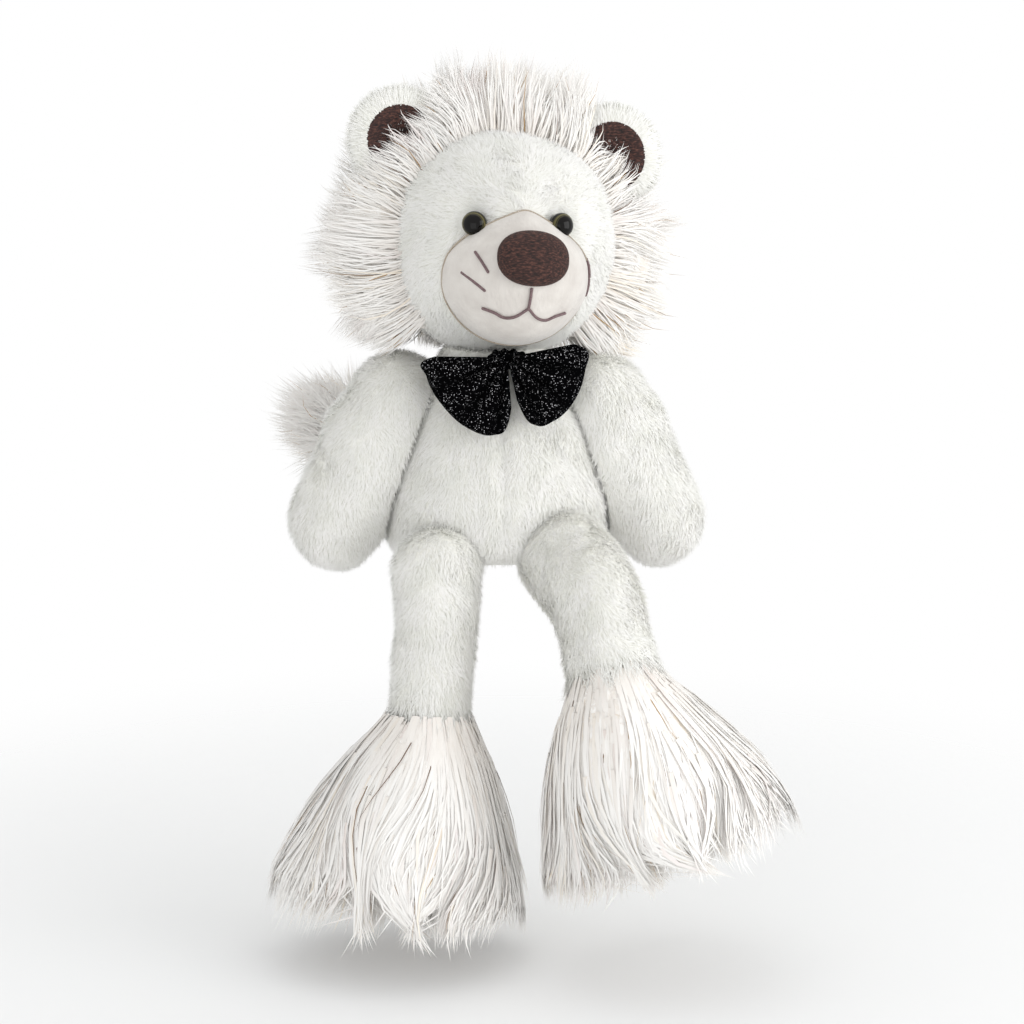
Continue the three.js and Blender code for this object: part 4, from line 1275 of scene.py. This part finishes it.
def make_arms():
    """The arms and their pile."""
    for name, side in SIDES.items():
        grid = arm_grid(side)
        nodes = [f"arm_skin_{name}", f"arm_filling_{name}"]
        soft_piece(f"arm_{name}_plush", grid, "plush", f"{name}_arm", nodes)
        pile(f"arm_{name}_pile", grid, downward, f"{name}_arm")


def make_legs():
    """The legs and their pile."""
    for name in SIDES:
        grid = leg_grid(name)
        nodes = [f"leg_skin_{name}", f"leg_filling_{name}"]
        ahead = unit(LEGS[name][2] - LEGS[name][0])
        soft_piece(f"leg_{name}_plush", grid, "plush", f"{name}_leg", nodes)

        def along_leg(points, ahead=ahead):
            return np.broadcast_to(ahead, points.shape)

        def at_ankle(points, ankle=LEGS[name][2], down=unit(LEGS[name][2] - LEGS[name][1])):
            return 1 + 1.3 * rise((points - ankle) @ down, -7, -1)

        pile(f"leg_{name}_pile", grid, along_leg, f"{name}_leg", length_share=at_ankle)


def make_feet():
    """The feet: the backing of each and its long hair."""
    sizes = bpy.context.scene.lion_sizes
    for name in SIDES:
        body = f"{name}_foot"
        nodes = [f"foot_fur_{name}", f"foot_filling_{name}"]
        soft_piece(f"foot_{name}_backing", bell_grid(name), "backing", body, nodes)
        rng = np.random.default_rng(200 + len(name))
        paths, out = foot_paths(name, fewer(sizes.foot_count), rng)
        long_piece(f"foot_{name}_hair", paths, out, body, 0.03, rng, lock_width=sizes.foot_width / MM)


def make_tail():
    """The tail, its pile and its tuft."""
    radii = TAIL_RADIUS * np.array([1, 0.96, 0.9, 0.84])
    grid = tube(TAIL, radii, rows=70, columns=40, reference=(0, 0, 1))
    soft_piece("tail_plush", grid, "plush", "tail", ["tail_skin", "tail_filling"])
    way = unit(TAIL[-1] - TAIL[0])
    pile("tail_pile", grid, lambda spots: np.broadcast_to(way, spots.shape), "tail", length_share=0.8)
    rng = np.random.default_rng(300)
    tuft = long_piece("tail_tuft_hair", *tuft_paths(rng), "tail", 0.01, rng)
    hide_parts("tail_tuft")


def loop_grid(name):
    """A drooping loop of the bow, and how far out its folds lie: from the knot a fan of cloth opens by
    angle and distance, front and back meet at a round edge, and pleats fade from the knot outward."""
    side = SIDES[name]
    around = turns(120)
    out = np.linspace(0, 1, 44)[:, None]
    place = -np.cos(around)  # -1 at the upper edge, 1 at the inner edge
    table = LOOPS[name]
    share = (place + 1) / 2
    angle = np.radians(table[0, 0] + (table[-1, 0] - table[0, 0]) * share)
    reach = through(np.radians(table[:, 0]), table[:, 1:], angle)[..., 0]
    front = np.sign(np.sin(around)) * np.abs(np.sin(around)) ** 0.6
    end = np.sqrt(np.clip(1 - out ** 7, 0, 1))
    thick = (2.2 + 3.4 * np.sin(out * np.pi * 0.62)) * end
    folds = np.abs(np.sin(share * 3.4 * np.pi + 0.5)) ** 0.7 - 0.6
    pleats = 5 * folds * np.sin(np.pi * np.clip(0.2 + out * 0.62, 0, 1)) * np.clip(front, 0, 1)
    distance = reach * (0.06 + 0.94 * out)
    x = KNOT[0] + side * distance * np.cos(angle)
    z = KNOT[2] - distance * np.sin(angle) + 1.5 * (1 - out)
    chest = -33 - 11 * rise(-z, -88, -56)
    y = chest - 3.5 - (thick * front + pleats * end)
    grid = xyz(x, y, z)
    grid[0] = grid[0].mean(0)
    # painted light and shade: the flakes' brightness follows how far out the folds lie
    return grid, np.broadcast_to(np.clip(0.55 + 1.1 * folds, 0.15, 1), x.shape)


def bow_piece(name, surface, painted_fold_light, node):
    """A piece of the bow. Its map holds how far out the folds lie, where flakes are brighter."""
    points, quads, fans = surface
    uv = np.stack([painted_fold_light, painted_fold_light], -1)
    piece = mesh_piece(name, points, [quads, fans], finish_of("bow"), "body", uv)
    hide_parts(node)


def make_bow():
    """The bow tie: two drooping loops and a pleated knot of glitter cloth."""
    for name in SIDES:
        grid, painted_fold_light = loop_grid(name)
        painted_fold_light = np.concatenate([painted_fold_light[1:].ravel(), painted_fold_light[-1], [1, 1]])
        bow_piece(f"bow_{name}_loop", sewn_edge(grid), painted_fold_light, f"bow_loop_{name}")
    knot = ball(KNOT, KNOT_HALF, 2.8, 40, 72)
    ribs = np.sin(knot[..., 0] * 1.5)
    # painted light: the flakes brighter on the knot's ribs than between them
    painted_fold_light = np.concatenate([(0.45 + 0.3 * ribs[1:-1]).ravel(), [0.3, 0.3]])
    bow_piece("bow_gathered_knot", closed(pushed(knot, 0.6 * ribs)), painted_fold_light, "bow_knot")


def sewn_edge(grid):
    """A grid whose last ring is a flat loop: front and back of that ring are drawn together and closed
    by a fan, so that the edge is round and shut."""
    last = grid[-1]
    middle = last.copy()
    middle[:, 1] = (last[:, 1] + np.roll(last[::-1], 1, axis=0)[:, 1]) / 2
    end = np.broadcast_to(middle.mean(0), (1, *middle.shape))
    return closed(np.concatenate([grid, middle[None], end]))


# Stage

def make_stage():
    """A pale floor that fades into a white background, soft lamps and the camera."""
    bpy.context.scene.view_settings.view_transform = "Standard"
    camera = bpy.data.cameras.new("camera")
    camera.sensor_width = 36
    camera.lens = CAMERA_LENS
    camera.clip_start = 0.05
    holder = add_object("camera", camera)
    place = CAMERA_PLACE * MM
    holder.location = place
    holder.rotation_euler = direction_of(CAMERA_AIM * MM - place)
    bpy.context.scene.camera = holder
    for name, (spot, power, size) in LAMPS.items():
        add_lamp(name, spot, power, size)
    make_world()
    make_floor()


def direction_of(vector):
    """The turn that makes -Z look along a vector with +Y up."""
    return Vector(vector).to_track_quat("-Z", "Y").to_euler()


def add_lamp(name, place, power, size):
    """A square soft box that faces the lion."""
    light = bpy.data.lights.new(name, "AREA")
    light.energy = power
    light.size = size
    lamp = add_object(name, light)
    lamp.location = place
    lamp.rotation_euler = direction_of(LAMP_AIM - np.array(place))


def make_world():
    """Soft light from all round, and white for what the camera, gloss and glass see."""
    world = bpy.data.worlds.new("studio")
    bpy.context.scene.world = world
    world.use_nodes = True
    tree = world.node_tree
    tree.nodes.clear()
    glow = {"Color": linear(WORLD_COLOUR), "Strength": WORLD_STRENGTH}
    light = add_node(tree, "ShaderNodeBackground", glow)
    white = add_node(tree, "ShaderNodeBackground", {"Color": (1, 1, 1, 1), "Strength": 1.0})
    mix = add_node(tree, "ShaderNodeMixShader", {0: seen(tree), 1: light.outputs[0], 2: white.outputs[0]})
    add_node(tree, "ShaderNodeOutputWorld", {"Surface": mix.outputs[0]})


def seen(tree):
    """1 for camera, glossy and transmission rays, and 0 for the rest."""
    path = add_node(tree, "ShaderNodeLightPath").outputs
    share = path["Is Camera Ray"]
    for ray in ("Is Glossy Ray", "Is Transmission Ray"):
        share = add_node(tree, "ShaderNodeMath", {0: share, 1: path[ray]}, operation="MAXIMUM").outputs[0]
    return share


def make_floor():
    """A matt floor under the feet that turns clear with the distance, so that it meets the background."""
    colours = bpy.context.scene.lion_colours
    mesh = bpy.data.meshes.new("floor")
    ends = ((-1, -1), (1, -1), (1, 1), (-1, 1))
    corners = [(x * FLOOR_SIZE, y * FLOOR_SIZE, FLOOR_HEIGHT) for x, y in ends]
    mesh.from_pydata(corners, [], [(0, 1, 2, 3)])
    floor = add_object("floor", mesh)
    material, tree = new_material("matt_white_floor")
    place = add_node(tree, "ShaderNodeTexCoord").outputs["Object"]
    away = add_node(tree, "ShaderNodeVectorMath", {0: place}, operation="LENGTH").outputs["Value"]
    far = add_node(tree, "ShaderNodeMapRange", {"Value": away, **FLOOR_FADE}, interpolation_type="SMOOTHSTEP")
    matt = add_node(tree, "ShaderNodeBsdfDiffuse", {"Color": colours.floor})
    clear = add_node(tree, "ShaderNodeBsdfTransparent")
    mix = add_node(tree, "ShaderNodeMixShader", {0: far.outputs[0], 1: matt.outputs[0], 2: clear.outputs[0]})
    add_node(tree, "ShaderNodeOutputMaterial", {"Surface": mix.outputs[0]})
    mesh.materials.append(material)


# Operators, one for each group of pieces

def operator(name, label, make):
    """An operator class that makes one group of pieces with the function given."""
    def execute(self, context):
        make()
        return {"FINISHED"}
    return type(f"LION_OT_{name}", (bpy.types.Operator,), {
        "bl_idname": f"plush_lion.{name}",
        "bl_label": label,
        "bl_options": {"REGISTER", "UNDO"},
        "__doc__": make.__doc__,
        "execute": execute,
    })


OPERATORS = [
    operator("stage", "Stage", make_stage),
    operator("body", "Body", make_body),
    operator("head", "Head", make_head),
    operator("muzzle", "Muzzle and nose", make_muzzle),
    operator("stitches", "Mouth and whiskers", make_stitches),
    operator("eyes", "Eyes", make_eyes),
    operator("ears", "Ears", make_ears),
    operator("mane", "Mane", make_mane),
    operator("arms", "Arms", make_arms),
    operator("legs", "Legs", make_legs),
    operator("feet", "Feet", make_feet),
    operator("tail", "Tail", make_tail),
    operator("bow", "Bow tie", make_bow),
]


class LION_PT_panel(bpy.types.Panel):
    """The lion's sizes, colours and makers."""
    bl_label = "Plush lion"
    bl_space_type = "VIEW_3D"
    bl_region_type = "UI"
    bl_category = "Plush lion"

    def draw(self, context):
        for group in (context.scene.lion_sizes, context.scene.lion_colours):
            column = self.layout.column(align=True)
            for name in group.__annotations__:
                column.prop(group, name)
        for made in OPERATORS:
            self.layout.operator(made.bl_idname)


CLASSES = [LionSizes, LionColours, *OPERATORS, LION_PT_panel]


def register():
    """Adds the classes to Blender and the two groups of values to the scene."""
    for made in CLASSES:
        bpy.utils.register_class(made)
    bpy.types.Scene.lion_sizes = PointerProperty(type=LionSizes)
    bpy.types.Scene.lion_colours = PointerProperty(type=LionColours)


def unregister():
    """Takes away what register added."""
    del bpy.types.Scene.lion_sizes
    del bpy.types.Scene.lion_colours
    for made in reversed(CLASSES):
        bpy.utils.unregister_class(made)


def main():
    """Makes every piece in order and writes the two boxes."""
    register()
    for made in OPERATORS:
        getattr(bpy.ops.plush_lion, made.bl_idname.split(".")[1])()


if __name__ == "__main__":
    main()
